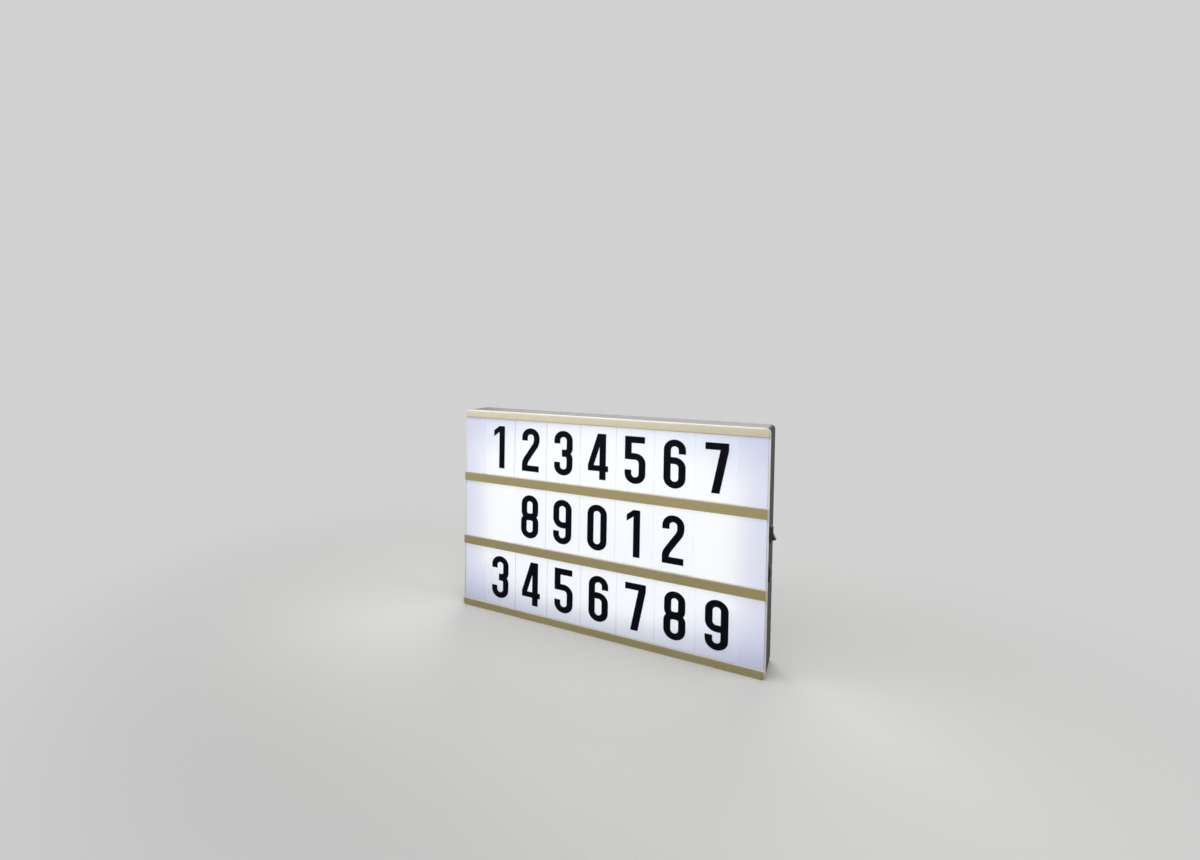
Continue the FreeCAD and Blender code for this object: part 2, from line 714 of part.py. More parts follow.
def make_contacts():
    """Six cells in series: the plates join them in a zigzag, and each cell has one spring."""
    top_springs = [cell for cell in range(CELLS) if cell % 2 == 0]
    bottom_springs = [cell for cell in range(CELLS) if cell % 2]
    top_pairs = [(0,)] + [(cell, cell + 1) for cell in range(1, CELLS - 1, 2)] + [(CELLS - 1,)]
    bottom_pairs = [(cell, cell + 1) for cell in range(0, CELLS, 2)]
    plates = [contact_plate(cells, True, top_springs) for cells in top_pairs]
    plates += [contact_plate(cells, False, bottom_springs) for cells in bottom_pairs]
    coils = [coil_spring(cell, True) for cell in top_springs]
    coils += [coil_spring(cell, False) for cell in bottom_springs]
    return [group("contact_plates", plates), group("contact_springs", coils)]


# ---------------------------------------------------------------- light boards

board_front = inner_back - mm.board_standoff - mm.board_thick
board_heights = {"lower": mm.lower_board, "upper": mm.upper_board}


def make_board(level):
    body = new_body(f"led_board_{level}")
    outline = front_pad(body, f"{level}_outline", board_front, board_front + mm.board_thick)
    half = board_length / 2
    add_rectangle(outline, -half, half, *around(board_heights[level], mm.board_height))
    holes = front_pocket(body, f"{level}_holes", board_front, board_front + mm.board_thick)
    for side in (-1, 1):
        x = standoff_spacing * (side / 2)
        add_circle(holes, x, board_heights[level], mm.board_screw + mm.screw_play)
    return body


def led_places():
    return [led_pitch * (number - (LEDS_ON_BOARD - 1) / 2) for number in range(LEDS_ON_BOARD)]


def make_leds(level):
    """Square surface-mounted LEDs, each with a shallow round window."""
    size, thick = mm.led_size.value, mm.led_thick.value
    led = Part.makeBox(size, thick, size, Vector(-size / 2, -thick, -size / 2))
    led = led.makeChamfer(mm.led_bevel.value, [e for e in led.Edges if lies_at(e, "Y", -thick)])
    window = Part.makeCone(
        mm.led_window.value, mm.led_window_floor.value, mm.led_recess.value,
        Vector(0, -thick, 0), Vector(0, 1, 0),
    )
    led = led.cut(window)
    y = depth_to_y(board_front)
    return group(f"leds_{level}", [moved(led, x, y, board_heights[level]) for x in led_places()])


def make_resistors():
    solids = []
    y = depths(board_front - mm.resistor_thick, board_front)
    for height in board_heights.values():
        for x in led_places():
            start = x + mm.led_size / 2 + mm.resistor_gap
            across = around(height, mm.resistor_width)
            solids.append(block((start, start + mm.resistor_length), y, across))
    return group("led_resistors", solids)


def make_board_screws():
    screw = pan_screw(
        mm.board_screw_length, mm.board_screw, mm.board_head, mm.board_head_height
    )
    screw.rotate(Vector(), Vector(0, 0, 1), 180)
    y = depth_to_y(board_front)
    return group("board_screws", [
        moved(screw, standoff_spacing * (side / 2), y, height)
        for height in board_heights.values() for side in (-1, 1)
    ])


def make_housing_screws():
    screw = pan_screw(mm.screw_length, mm.screw_radius, mm.head_radius, mm.head_height)
    y = depth_to_y(mm.screw_seat)
    return group("housing_screws", [moved(screw, x, y, z) for x, z in SCREW_PLACES])


# ---------------------------------------------------------------- switch and inlet

switch_y = depth_to_y(mm.switch_depth)
bezel_front = half_width + mm.bezel_thick
pivot_x = bezel_front - mm.pivot_depth


def make_switch_body():
    body = new_body("switch_body")
    case = side_sketch(body, "switch_case", half_width - mm.switch_inside)
    pad(case, mm.switch_inside)
    add_rectangle(
        case, *around(switch_y, mm.switch_width), *around(mm.switch_height, mm.switch_length)
    )
    bezel = side_sketch(body, "switch_bezel", half_width)
    pad(bezel, mm.bezel_thick)
    add_round_rectangle(
        bezel, *around(switch_y, mm.bezel_width), *around(mm.switch_height, mm.bezel_height),
        mm.bezel_corner,
    )
    rim = bezel_front
    round_edges(body, "bezel_rim", mm.bezel_edge, lambda edge: lies_at(edge, "X", rim))
    well = side_sketch(body, "rocker_well", bezel_front)
    pocket(well, mm.well_depth)
    add_rectangle(
        well, *around(switch_y, mm.well_width), *around(mm.switch_height, mm.well_length)
    )
    pivots = new_sketch(body, "rocker_pivots", "XZ_Plane", -switch_y)
    pocket(pivots, (mm.pivot_reach + mm.cutout_play) * 2, midplane=True)
    add_circle(pivots, pivot_x, mm.switch_height, mm.pivot_radius + mm.pivot_play)
    return body


def make_switch_rocker():
    """Drawn level about its pivot; the placement tips it to the ON side."""
    body = new_body("switch_rocker")
    profile = new_sketch(body, "rocker_profile", "XZ_Plane", 0)
    pad(profile, mm.rocker_width, midplane=True)
    rise = mm.rocker_half * math.tan(math.radians(mm.rocker_tilt.value))
    add_polygon(profile, [
        (mm.rocker_valley + rise, mm.rocker_half), (as_size(0), mm.rocker_waist),
        (-mm.rocker_under, mm.rocker_foot), (-mm.rocker_under, -mm.rocker_foot),
        (as_size(0), -mm.rocker_waist), (mm.rocker_valley + rise, -mm.rocker_half),
        (mm.rocker_valley, as_size(0)),
    ])
    pivots = new_sketch(body, "rocker_pins", "XZ_Plane", 0)
    pad(pivots, mm.pivot_reach * 2, midplane=True)
    add_circle(pivots, as_size(0), as_size(0), mm.pivot_radius)
    tilt = Rotation(Vector(0, 1, 0), -mm.rocker_tilt.value)
    place = Vector(pivot_x.value, switch_y.value, mm.switch_height.value)
    body.Placement = Placement(place, tilt)
    return body


def make_switch_terminals():
    end = half_width - mm.switch_inside
    return group("switch_terminals", [
        block(
            (end - mm.terminal_length, end), around(switch_y, mm.terminal_width),
            around(mm.switch_height + mm.terminal_spacing / 2 * side, mm.terminal_thick),
        )
        for side in (-1, 1)
    ])


def make_power_inlet():
    body = new_body("power_inlet")
    case = side_sketch(body, "inlet_case", half_width - mm.inlet_inside)
    pad(case, mm.inlet_inside)
    add_rectangle(
        case, *around(switch_y, mm.inlet_width), *around(mm.inlet_height, mm.inlet_length)
    )
    flange = side_sketch(body, "inlet_flange", half_width)
    pad(flange, mm.inlet_flange_thick)
    add_round_rectangle(
        flange, *around(switch_y, mm.inlet_flange_width),
        *around(mm.inlet_height, mm.inlet_flange_height), mm.bezel_corner,
    )
    rim = half_width + mm.inlet_flange_thick
    round_edges(body, "flange_rim", mm.bezel_edge, lambda edge: lies_at(edge, "X", rim))
    bore = side_sketch(body, "inlet_bore", rim)
    pocket(bore, mm.inlet_bore_depth)
    add_circle(bore, switch_y, mm.inlet_height, mm.inlet_bore)
    return body


def make_inlet_contacts():
    floor = half_width + mm.inlet_flange_thick - mm.inlet_bore_depth
    foot = Vector(floor.value, switch_y.value, mm.inlet_height.value)
    pin = Part.makeCylinder(
        mm.inlet_pin.value, mm.inlet_pin_length.value, foot, Vector(1, 0, 0)
    )
    pin = pin.makeChamfer(mm.inlet_pin_bevel.value, [
        edge for edge in pin.Edges if lies_at(edge, "X", floor + mm.inlet_pin_length)
    ])
    end = half_width - mm.inlet_inside
    tabs = [
        block(
            (end - mm.inlet_tab_length, end), around(switch_y, mm.inlet_tab_width),
            around(mm.inlet_height + mm.inlet_tab_spacing / 2 * side, mm.terminal_thick),
        )
        for side in (-1, 1)
    ]
    return group("inlet_contacts", [pin] + tabs)


# ---------------------------------------------------------------- wires

def wire(points):
    """A round wire along straight runs, with an arc at each corner as large as the runs allow."""
    path = [Vector(*(float(number) for number in point)) for point in points]
    edges = []
    start = path[0]
    for before, corner, after in zip(path, path[1:], path[2:]):
        back = (before - corner).normalize()
        ahead = (after - corner).normalize()
        reach = 0.45 * min((before - corner).Length, (after - corner).Length)
        first, last = corner + back * reach, corner + ahead * reach
        half_turn = back.getAngle(ahead) / 2
        centre = corner + (back + ahead).normalize() * (reach / math.cos(half_turn))
        inner = centre + (corner - centre).normalize() * (reach * math.tan(half_turn))
        edges.append(Part.makeLine(start, first))
        edges.append(Part.Arc(first, inner, last).toShape())
        start = last
    edges.append(Part.makeLine(start, path[-1]))
    heading = (path[1] - path[0]).normalize()
    ring = Part.Wire([Part.makeCircle(mm.wire_radius.value, path[0], heading)])
    return Part.Wire(edges).makePipeShell([ring], True, True)


def make_wires():
    """Leads from the inlet to the switch, the light boards and the battery contacts."""
    switch_end = half_width - mm.switch_inside - mm.terminal_length
    inlet_end = half_width - mm.inlet_inside - mm.inlet_tab_length
    switch_upper = mm.switch_height + mm.terminal_spacing / 2
    switch_lower = mm.switch_height - mm.terminal_spacing / 2
    inlet_upper = mm.inlet_height + mm.inlet_tab_spacing / 2
    inlet_lower = mm.inlet_height - mm.inlet_tab_spacing / 2
    pad_y = depth_to_y(board_front)
    loop_y = pad_y - mm.wire_loop
    tab_y = depth_to_y(tab_depth)
    tab_end = bay_top + mm.tab_reach
    tab_loop = tab_end + mm.wire_bend
    outer_pad = board_length / 2 - mm.pad_spacing
    feed_pad = outer_pad - mm.pad_spacing
    inner_pad = feed_pad - mm.pad_spacing
    positive, negative = cell_x(CELLS - 1), cell_x(0)
    positive_pad, negative_pad = positive + mm.battery_lead, negative - mm.battery_lead
    top_pads, low_pads = mm.upper_board - mm.pad_rise, mm.lower_board + mm.pad_rise
    feed_rise, lead_rise = mm.upper_board + mm.pad_rise, mm.lower_board - mm.pad_rise

    def link(x, loop):
        """A lead from the upper board to the lower one."""
        return wire([(x, pad_y, top_pads), (x, loop, top_pads), (x, loop, low_pads),
                     (x, pad_y, low_pads)])

    red = [
        link(outer_pad, loop_y),
        wire([(switch_end, switch_y, switch_upper), (feed_pad, switch_y, switch_upper),
              (feed_pad, switch_y, feed_rise), (feed_pad, pad_y, feed_rise)]),
        wire([(inlet_end, switch_y, inlet_upper), (feed_pad, switch_y, inlet_upper),
              (feed_pad, switch_y, switch_lower), (switch_end, switch_y, switch_lower)]),
        wire([(positive, tab_y, tab_end), (positive, tab_y, tab_loop),
              (positive_pad, tab_y, tab_loop), (positive_pad, loop_y, lead_rise),
              (positive_pad, pad_y, lead_rise)]),
    ]
    black = [
        link(inner_pad, loop_y),
        wire([(inlet_end, switch_y, inlet_lower), (inner_pad, switch_y, inlet_lower),
              (inner_pad, loop_y, lead_rise), (inner_pad, pad_y, lead_rise)]),
        wire([(negative, tab_y, tab_end), (negative, tab_y, tab_loop),
              (negative_pad, loop_y, lead_rise), (negative_pad, pad_y, lead_rise)]),
    ]
    return [group("wires_red", red), group("wires_black", black)]


# ---------------------------------------------------------------- letter tiles

def make_tile(row, number):
    """A clear film tile, standing in the grooves above and below its window."""
    body = new_body(f"tile_{row + 1}_{number + 1}")
    height = window_height + (mm.groove_reach - mm.tile_play) * 2
    outline = new_sketch(body, f"{body.Label}_outline", "XZ_Plane", 0)
    add_round_rectangle(
        outline, -mm.tile_width / 2, mm.tile_width / 2, -height / 2, height / 2, mm.tile_corner
    )
    pad(outline, mm.tile_thick, midplane=True)
    x = ROW_SHIFT[row] + mm.tile_pitch * (number - (TILES_IN_ROW[row] - 1) / 2)
    bind(body, "Placement.Base.x", x)
    bind(body, "Placement.Base.y", depth_to_y(mm.lip_thick + mm.groove_gap / 2))
    bind(body, "Placement.Base.z", window_bottom(row) + window_height / 2)
    return body


# ---------------------------------------------------------------- build, check and write

sub_parts = [
    make_front_frame(), make_diffuser_panel(), make_rear_housing(), make_battery_cover(),
    *make_contacts(),
    *(make_board(level) for level in board_heights),
    *(make_leds(level) for level in board_heights),
    make_resistors(), make_board_screws(), make_housing_screws(),
    make_switch_body(), make_switch_rocker(), make_switch_terminals(),
    make_power_inlet(), make_inlet_contacts(), *make_wires(),
    *(make_tile(row, n) for row in range(ROWS) for n in range(TILES_IN_ROW[row])),
]
doc.recompute()

for item in doc.Objects:
    failed = {"Invalid", "Error"} & set(item.State)
    if failed:
        raise RuntimeError(f"{item.Label} is {failed}")

for item in sub_parts:
    if item.Shape.isNull() or not item.Shape.isValid():
        raise RuntimeError(f"{item.Label} has no valid shape")
    item.Shape.exportStep(os.path.join("parts", item.Label + ".step"))
    print(f"{item.Label}: {len(item.Shape.Solids)} solids, {item.Shape.Volume / 1000:.2f} cm3")
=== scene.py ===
# %% [markdown]
# # A cinema light box in Blender
#
# The box is a shallow case, 300 mm wide, that stands on a table. Its front is a cream plastic
# frame with four grooved rails. Clear tiles with black characters slide in the grooves, in front
# of an opal panel that ten LEDs light from behind. The case behind it is dark grey plastic, with a
# rocker switch and a power socket on the right side and a battery door at the back.
#
# The solid model is made elsewhere and is loaded here as a fixed frame. This lesson gives it its
# looks: the camera, the light, the finishes, and the fine pieces that a solid model leaves out.

import math

import bmesh
import bpy
from mathutils import Matrix, Vector


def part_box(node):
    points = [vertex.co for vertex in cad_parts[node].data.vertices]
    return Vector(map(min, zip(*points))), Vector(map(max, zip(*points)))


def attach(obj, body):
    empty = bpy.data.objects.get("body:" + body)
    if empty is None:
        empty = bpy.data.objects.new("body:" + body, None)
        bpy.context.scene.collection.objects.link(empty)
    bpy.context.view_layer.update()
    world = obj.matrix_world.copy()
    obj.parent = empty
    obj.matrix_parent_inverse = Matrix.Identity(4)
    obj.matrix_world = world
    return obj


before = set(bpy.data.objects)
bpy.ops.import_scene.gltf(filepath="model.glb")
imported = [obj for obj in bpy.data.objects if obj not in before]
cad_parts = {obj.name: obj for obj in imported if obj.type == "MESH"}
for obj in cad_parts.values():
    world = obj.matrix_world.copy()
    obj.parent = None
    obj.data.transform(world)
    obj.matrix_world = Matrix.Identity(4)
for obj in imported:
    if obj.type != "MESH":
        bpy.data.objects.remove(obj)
scene = bpy.context.scene
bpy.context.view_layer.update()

# %% [markdown]
# Blender counts in metres, and a maker thinks in millimetres. Every size of the box is written
# below in millimetres and goes through one factor, so that a number in the script is one you could
# check on the real box with a ruler. Only the floor, the lamps and how far the camera sees are in
# metres.

# %% Millimetres, and the boxes of the main pieces
MM = 0.001

frame_low, frame_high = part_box("front_frame")
panel_low, panel_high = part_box("diffuser_panel")
print("front frame:", [round(size / MM, 1) for size in frame_high - frame_low], "mm")

# %% [markdown]
# ## The camera
#
# The view is close and wide: the eye is about 66 cm from the box and turned 34 degrees to its
# left, so the side nearest to the eye stands clearly taller than the far one. The eye is almost
# in line with the right side, which shows as a narrow dark strip. Three numbers give the frame: the
# focal length in pixels, and the point of the picture that lies straight ahead of the lens. When
# that point isn't the middle of the picture, the lens is shifted, as on a view camera.

# %% Camera
PICTURE_WIDE, PICTURE_HIGH = 1200, 860
FOCAL_PIXELS = 640
AHEAD_X, AHEAD_Y = 410, 370
SENSOR_WIDE = 36.0
EYE = (199.9, -655.5, 281.4)
TURN, DIP, ROLL = 34.03, 1.39, -0.55
NEAREST_SEEN, FARTHEST_SEEN = 0.01, 100

camera_data = bpy.data.cameras.new("camera")
camera_data.sensor_width = SENSOR_WIDE
camera_data.lens = FOCAL_PIXELS / PICTURE_WIDE * SENSOR_WIDE
camera_data.shift_x = (PICTURE_WIDE / 2 - AHEAD_X) / PICTURE_WIDE
camera_data.shift_y = (AHEAD_Y - PICTURE_HIGH / 2) / PICTURE_WIDE
camera_data.clip_start, camera_data.clip_end = NEAREST_SEEN, FARTHEST_SEEN

turn, dip, roll = (math.radians(angle) for angle in (TURN, DIP, ROLL))
ahead = Vector((-math.sin(turn) * math.cos(dip), math.cos(turn) * math.cos(dip), -math.sin(dip)))
camera = bpy.data.objects.new("camera", camera_data)
camera.matrix_world = (
    Matrix.Translation(Vector(EYE) * MM)
    @ ahead.to_track_quat("-Z", "Y").to_matrix().to_4x4()
    @ Matrix.Rotation(-roll, 4, "Z")
)
scene.collection.objects.link(camera)
scene.camera = camera
print(f"lens {camera_data.lens:.1f} mm, shift {camera_data.shift_x:.3f}, {camera_data.shift_y:.3f}")

# %% [markdown]
# ## Small helpers for finishes
#
# A finish is a tree of nodes, and a few helpers keep the trees short. One turns a hex colour as an
# artist writes it into the linear numbers that light adds up in. One adds a node with its settings
# and its links in a single call. One starts a material with its Principled shader, and one puts
# another shader in that one's place. One sets the two colours of a ramp. The last two put a finish
# on nodes of the solid model, and turn the size of a grain into the scale of a pattern.

# %% Helpers for finishes
def linear(hex_colour):
    """An sRGB hex colour as linear red, green, blue and alpha."""
    parts = [int(hex_colour[i:i + 2], 16) / 255 for i in (1, 3, 5)]
    return (*(p / 12.92 if p <= 0.04045 else ((p + 0.055) / 1.055) ** 2.4 for p in parts), 1.0)


def add_node(tree, kind, inputs=None, **settings):
    """Adds a node. An input given as a socket is linked, and any other is set as a value."""
    node = tree.nodes.new(kind)
    for name, value in settings.items():
        setattr(node, name, value)
    for name, value in (inputs or {}).items():
        if isinstance(value, bpy.types.NodeSocket):
            tree.links.new(value, node.inputs[name])
        else:
            node.inputs[name].default_value = value
    return node


def start_finish(name, **values):
    """A new material with a Principled shader. Gives the material, its tree and the shader."""
    material = bpy.data.materials.new(name)
    material.use_nodes = True
    tree = material.node_tree
    tree.nodes.clear()
    sockets = {key.replace("_", " ").title().replace("Ior", "IOR"): value
               for key, value in values.items()}
    shader = add_node(tree, "ShaderNodeBsdfPrincipled", sockets)
    add_node(tree, "ShaderNodeOutputMaterial", {"Surface": shader.outputs[0]})
    return material, tree, shader


def show_instead(tree, shader):
    """Links another shader to the output of a material."""
    outlet = next(node for node in tree.nodes if node.type == "OUTPUT_MATERIAL")
    tree.links.new(shader.outputs[0], outlet.inputs["Surface"])


def set_stops(node, *colours, at=(0.0, 1.0)):
    """Gives the two stops of a colour ramp their hex colours and their places."""
    for stop, place, colour in zip(node.color_ramp.elements, at, colours):
        stop.position, stop.color = place, linear(colour)


def give(finish, *nodes):
    """Puts a finish on CAD nodes, in the material slots of their objects."""
    for name in nodes:
        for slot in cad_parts[name].material_slots:
            slot.material = finish
    print(finish.name, "on", len(nodes), "nodes")


def per_mm(size):
    """The scale of a pattern on Object coordinates whose grains are this many millimetres."""
    return 1 / (size * MM)

# %% [markdown]
# ## Moulded plastic
#
# The frame and the case are ABS, shot into steel moulds. The mould's faces are spark-eroded, which
# leaves a fine even grain that takes the shine off, and the plastic itself is never quite one
# colour: it is a touch paler or darker over a few centimetres where it flowed. The real grain is
# about 0.1 mm. It is drawn at 0.35 mm, because a finer one wouldn't show.
#
# The moulded parts, the wires and the white print share this recipe: two noises. The broad one
# mixes two near colours. The fine one moves the roughness a little and bumps the surface by three
# hundredths of a millimetre at most.

# %% Moulded plastic recipe
GRAIN, GRAIN_DEPTH, GRAIN_STRENGTH = 0.35, 0.02, 0.35
FLOW, FLOW_EDGES = 45.0, (0.35, 0.65)
NOISE_LOW, NOISE_HIGH = 0.3, 0.7
GLOSS_PLAY = 0.06


def moulded_plastic(name, colour, second_colour, roughness, grain=GRAIN, depth=GRAIN_DEPTH,
                    **values):
    """Plastic in two near colours with an eroded grain. The grain and its depth are in mm."""
    material, tree, shader = start_finish(name, roughness=roughness, IOR=1.53, **values)
    place = add_node(tree, "ShaderNodeTexCoord").outputs["Object"]
    flow = add_node(tree, "ShaderNodeTexNoise", {
        "Vector": place, "Scale": per_mm(FLOW), "Detail": 3.0, "Roughness": 0.5})
    tint = add_node(tree, "ShaderNodeValToRGB", {"Fac": flow.outputs["Fac"]})
    set_stops(tint, colour, second_colour, at=FLOW_EDGES)
    tree.links.new(tint.outputs["Color"], shader.inputs["Base Color"])
    spark = add_node(tree, "ShaderNodeTexNoise", {
        "Vector": place, "Scale": per_mm(grain), "Detail": 2.0, "Roughness": 0.6})
    gloss = add_node(tree, "ShaderNodeMapRange", {
        "Value": spark.outputs["Fac"], "From Min": NOISE_LOW, "From Max": NOISE_HIGH,
        "To Min": roughness - GLOSS_PLAY, "To Max": roughness + GLOSS_PLAY})
    tree.links.new(gloss.outputs["Result"], shader.inputs["Roughness"])
    bump = add_node(tree, "ShaderNodeBump", {
        "Height": spark.outputs["Fac"], "Strength": GRAIN_STRENGTH, "Distance": depth * MM})
    tree.links.new(bump.outputs["Normal"], shader.inputs["Normal"])
    return material

# %% Case and black parts
DARK_GREY = {"colour": "#2D2B28", "second_colour": "#282623", "roughness": 0.62,
             "depth": 0.03, "specular_ior_level": 0.25}

grey_abs = moulded_plastic("moulded ABS, warm dark grey", **DARK_GREY)
black_nylon = moulded_plastic("moulded nylon, black", "#101012", "#141416", 0.42, depth=0.012)

give(grey_abs, "rear_housing")
give(black_nylon, "switch_body", "switch_rocker", "power_inlet")

# %% [markdown]
# Hands that lift and dust the box wear the grain off the case's top face, so it is smoother there
# than on the sides. Seen from a low angle it mirrors the surround as a soft grey band. A mask by
# height multiplies the roughness: the wear starts 1.2 mm below the top and is full just under it.

# %% Polished top
POLISH_FROM, POLISH_FULL = 218.8, 0.2
POLISHED = 0.45

tree = grey_abs.node_tree
shader = tree.nodes["Principled BSDF"]
case_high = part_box("rear_housing")[1]
spot = add_node(tree, "ShaderNodeSeparateXYZ", {
    "Vector": add_node(tree, "ShaderNodeTexCoord").outputs["Object"]})
worn = add_node(tree, "ShaderNodeMapRange", {
    "Value": spot.outputs["Z"], "From Min": POLISH_FROM * MM,
    "From Max": case_high.z - POLISH_FULL * MM, "To Min": 1.0, "To Max": POLISHED})
polished = add_node(tree, "ShaderNodeMath", {
    0: shader.inputs["Roughness"].links[0].from_socket, 1: worn.outputs["Result"]},
    operation="MULTIPLY")
tree.links.new(polished.outputs[0], shader.inputs["Roughness"])
print("case top at Z", round(case_high.z / MM, 1), "mm, polished from", POLISH_FROM, "mm")

# %% [markdown]
# The cream frame gets three things more, all measured from its own shape. A painted sheen makes it
# paler high up, most at the top rail. Painted highlights make the rounded rim and the lips of the
# rails paler, so each rail gets a fine light outline. And light from the panel shines through the
# skirt, the thin wall beside it.
#
# A mask of nodes picks each place: how high a point is, how far inside the outline, how far from
# the middle of its rail, and how far behind the front of the panel. The first step measures how
# far a point is inside the outline, from the sides and from the top and the bottom.

# %% Cream frame
cream_abs = moulded_plastic("moulded ABS, cream", "#B5A87A", "#AEA172", 0.46)
tree = cream_abs.node_tree
shader = tree.nodes["Principled BSDF"]
spot = add_node(tree, "ShaderNodeSeparateXYZ", {
    "Vector": add_node(tree, "ShaderNodeTexCoord").outputs["Object"]})
frame_middle, frame_half = (frame_low + frame_high) / 2, (frame_high - frame_low) / 2
inside = {}
for axis in ("X", "Z"):
    number = "XYZ".index(axis)
    aside = add_node(tree, "ShaderNodeMath", {0: spot.outputs[axis], 1: frame_middle[number]},
                     operation="SUBTRACT")
    away = add_node(tree, "ShaderNodeMath", {0: aside.outputs[0]}, operation="ABSOLUTE")
    inside[axis] = add_node(tree, "ShaderNodeMath", {
        0: frame_half[number], 1: away.outputs[0]}, operation="SUBTRACT").outputs[0]
give(cream_abs, "front_frame")

# %% [markdown]
# The painted highlights on the rim and on the lips and the painted sheen at the top each give a
# number from 0 to 1 for how much paler the plastic is painted, and the largest of the three wins.
# The rails repeat every 71.3 mm, so one remainder by that pitch serves all of them. The outer two
# are cut 2 mm short by the frame's bottom and top.

# %% Painted highlights on the rim and lips, painted sheen on the top rail
RIM_FROM, RIM_TO, RIM_HIGHLIGHT = 0.5, 1.3, 0.85
PAINTED_SHEEN_FROM, PAINTED_SHEEN = 190.0, 0.9
RAIL, RAIL_CUT, RAIL_PITCH = 10.0, 2.0, 214 / 3
LIP_FROM, LIP_TO, LIP_HIGHLIGHT = 1.2, 0.3, 0.75

nearest = add_node(tree, "ShaderNodeMath", {0: inside["X"], 1: inside["Z"]}, operation="MINIMUM")
# Painted highlight: the outermost millimetre of the frame's outline is painted paler, in place of
# the light its rounded rim catches.
rim = add_node(tree, "ShaderNodeMapRange", {
    "Value": nearest.outputs[0], "From Min": RIM_FROM * MM, "From Max": RIM_TO * MM,
    "To Min": RIM_HIGHLIGHT, "To Max": 0.0}, interpolation_type="SMOOTHSTEP")
# Painted sheen: from 190 mm up to the top the frame is painted paler, most at the top rail, in
# place of the light it catches and reflects there.
top_sheen = add_node(tree, "ShaderNodeMapRange", {
    "Value": spot.outputs["Z"], "From Min": PAINTED_SHEEN_FROM * MM, "From Max": frame_high.z,
    "To Min": 0.0, "To Max": PAINTED_SHEEN})
raised = add_node(tree, "ShaderNodeMath", {
    0: spot.outputs["Z"], 1: (RAIL_PITCH + RAIL_CUT) * MM}, operation="ADD")
in_pitch = add_node(tree, "ShaderNodeMath", {0: raised.outputs[0], 1: RAIL_PITCH * MM},
                    operation="MODULO")
off_middle = add_node(tree, "ShaderNodeMath", {0: in_pitch.outputs[0], 1: RAIL / 2 * MM},
                      operation="SUBTRACT")
off_rail = add_node(tree, "ShaderNodeMath", {0: off_middle.outputs[0]}, operation="ABSOLUTE")
# Painted highlight: the upper and lower edges of every rail are painted paler, in place of the
# light from the lamps and the panel on the rounded lips.
lip = add_node(tree, "ShaderNodeMapRange", {
    "Value": off_rail.outputs[0], "From Min": (RAIL / 2 - LIP_FROM) * MM,
    "From Max": (RAIL / 2 - LIP_TO) * MM, "To Min": 0.0, "To Max": LIP_HIGHLIGHT},
    interpolation_type="SMOOTHSTEP")
pale = rim.outputs["Result"]
for place in (lip, top_sheen):
    pale = add_node(tree, "ShaderNodeMath", {0: pale, 1: place.outputs["Result"]},
                    operation="MAXIMUM").outputs[0]
# The painted highlights and the painted sheen mix the base colour towards this pale cream.
highlights_and_sheen = add_node(tree, "ShaderNodeMix", {
    0: pale, 6: shader.inputs["Base Color"].links[0].from_socket,
    7: linear("#DFD8C3")}, data_type="RGBA")
tree.links.new(highlights_and_sheen.outputs[2], shader.inputs["Base Color"])
print("rails every", round(RAIL_PITCH, 2), "mm, painted_sheen from Z", PAINTED_SHEEN_FROM, "mm")

# %% [markdown]
# The skirt is only 1.3 mm thick. The panel's light shines through it as a soft pale line that
# fades towards the back and, like the panel, towards the table. The rails stand in front of the
# panel and get none of it.

# %% Light through the skirt
SKIRT, SKIRT_GLOW = 1.35, 0.3
PANEL_MARGIN = 0.1
SKIRT_FADE, SKIRT_LEAST = 120.0, 0.35

at_skirt = add_node(tree, "ShaderNodeMath", {0: inside["X"], 1: SKIRT * MM},
                    operation="LESS_THAN")
fade = add_node(tree, "ShaderNodeMapRange", {
    "Value": spot.outputs["Y"], "From Min": panel_low.y, "From Max": frame_high.y,
    "To Min": SKIRT_GLOW, "To Max": 0.0})
behind_rails = add_node(tree, "ShaderNodeMath", {
    0: spot.outputs["Y"], 1: panel_low.y - PANEL_MARGIN * MM}, operation="GREATER_THAN")
downwards = add_node(tree, "ShaderNodeMapRange", {
    "Value": spot.outputs["Z"], "From Max": SKIRT_FADE * MM, "To Min": SKIRT_LEAST})
through = fade.outputs["Result"]
for mask in (at_skirt.outputs[0], behind_rails.outputs[0], downwards.outputs["Result"]):
    through = add_node(tree, "ShaderNodeMath", {0: through, 1: mask},
                       operation="MULTIPLY").outputs[0]
shader.inputs["Emission Color"].default_value = linear("#BAC4FF")
tree.links.new(through, shader.inputs["Emission Strength"])
print("skirt glows from Y", round(panel_low.y / MM, 1), "to", round(frame_high.y / MM, 1), "mm")

# %% [markdown]
# ## The lit panel
#
# The panel is opal acrylic: a milky sheet that lets about half of the light through and scatters
# it, so it reflects only about half of what falls on its front. Ten LEDs stand behind it in two
# rows of five. Each one lights a soft round patch, and the patches run together into an even glow
# that is a little brighter in the middle and falls off towards the edges and corners.

# %% Places of the LEDs
LEDS_IN_ROW = 5


def led_places(node):
    """The middles of the LEDs of one board, from the outline of the whole row."""
    low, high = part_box(node)
    side = high.z - low.z
    pitch = (high.x - low.x - side) / (LEDS_IN_ROW - 1)
    return [Vector((low.x + side / 2 + pitch * i, low.y, (low.z + high.z) / 2))
            for i in range(LEDS_IN_ROW)]


lower_leds, upper_leds = led_places("leds_lower"), led_places("leds_upper")
print(len(lower_leds + upper_leds), "LEDs,",
      round((lower_leds[0].y - panel_high.y) / MM, 1), "mm behind the panel")

# %% [markdown]
# Each patch is worked out from its LED's own place. On a sheet that faces a small lamp, the light
# falls off as 1 / (1 + r * r) squared, where r is how far aside a point is, counted in distances
# between lamp and sheet. The real distance is a few centimetres. A longer one is used, because the
# white case scatters the light as well. The upper strip hangs on the longer wires and is dimmer
# than the lower one.

# %% Opal panel, and the patches of light added up
GLOW_SPREAD = 94.0
LOWER_POWER, UPPER_POWER = 1.55, 0.45

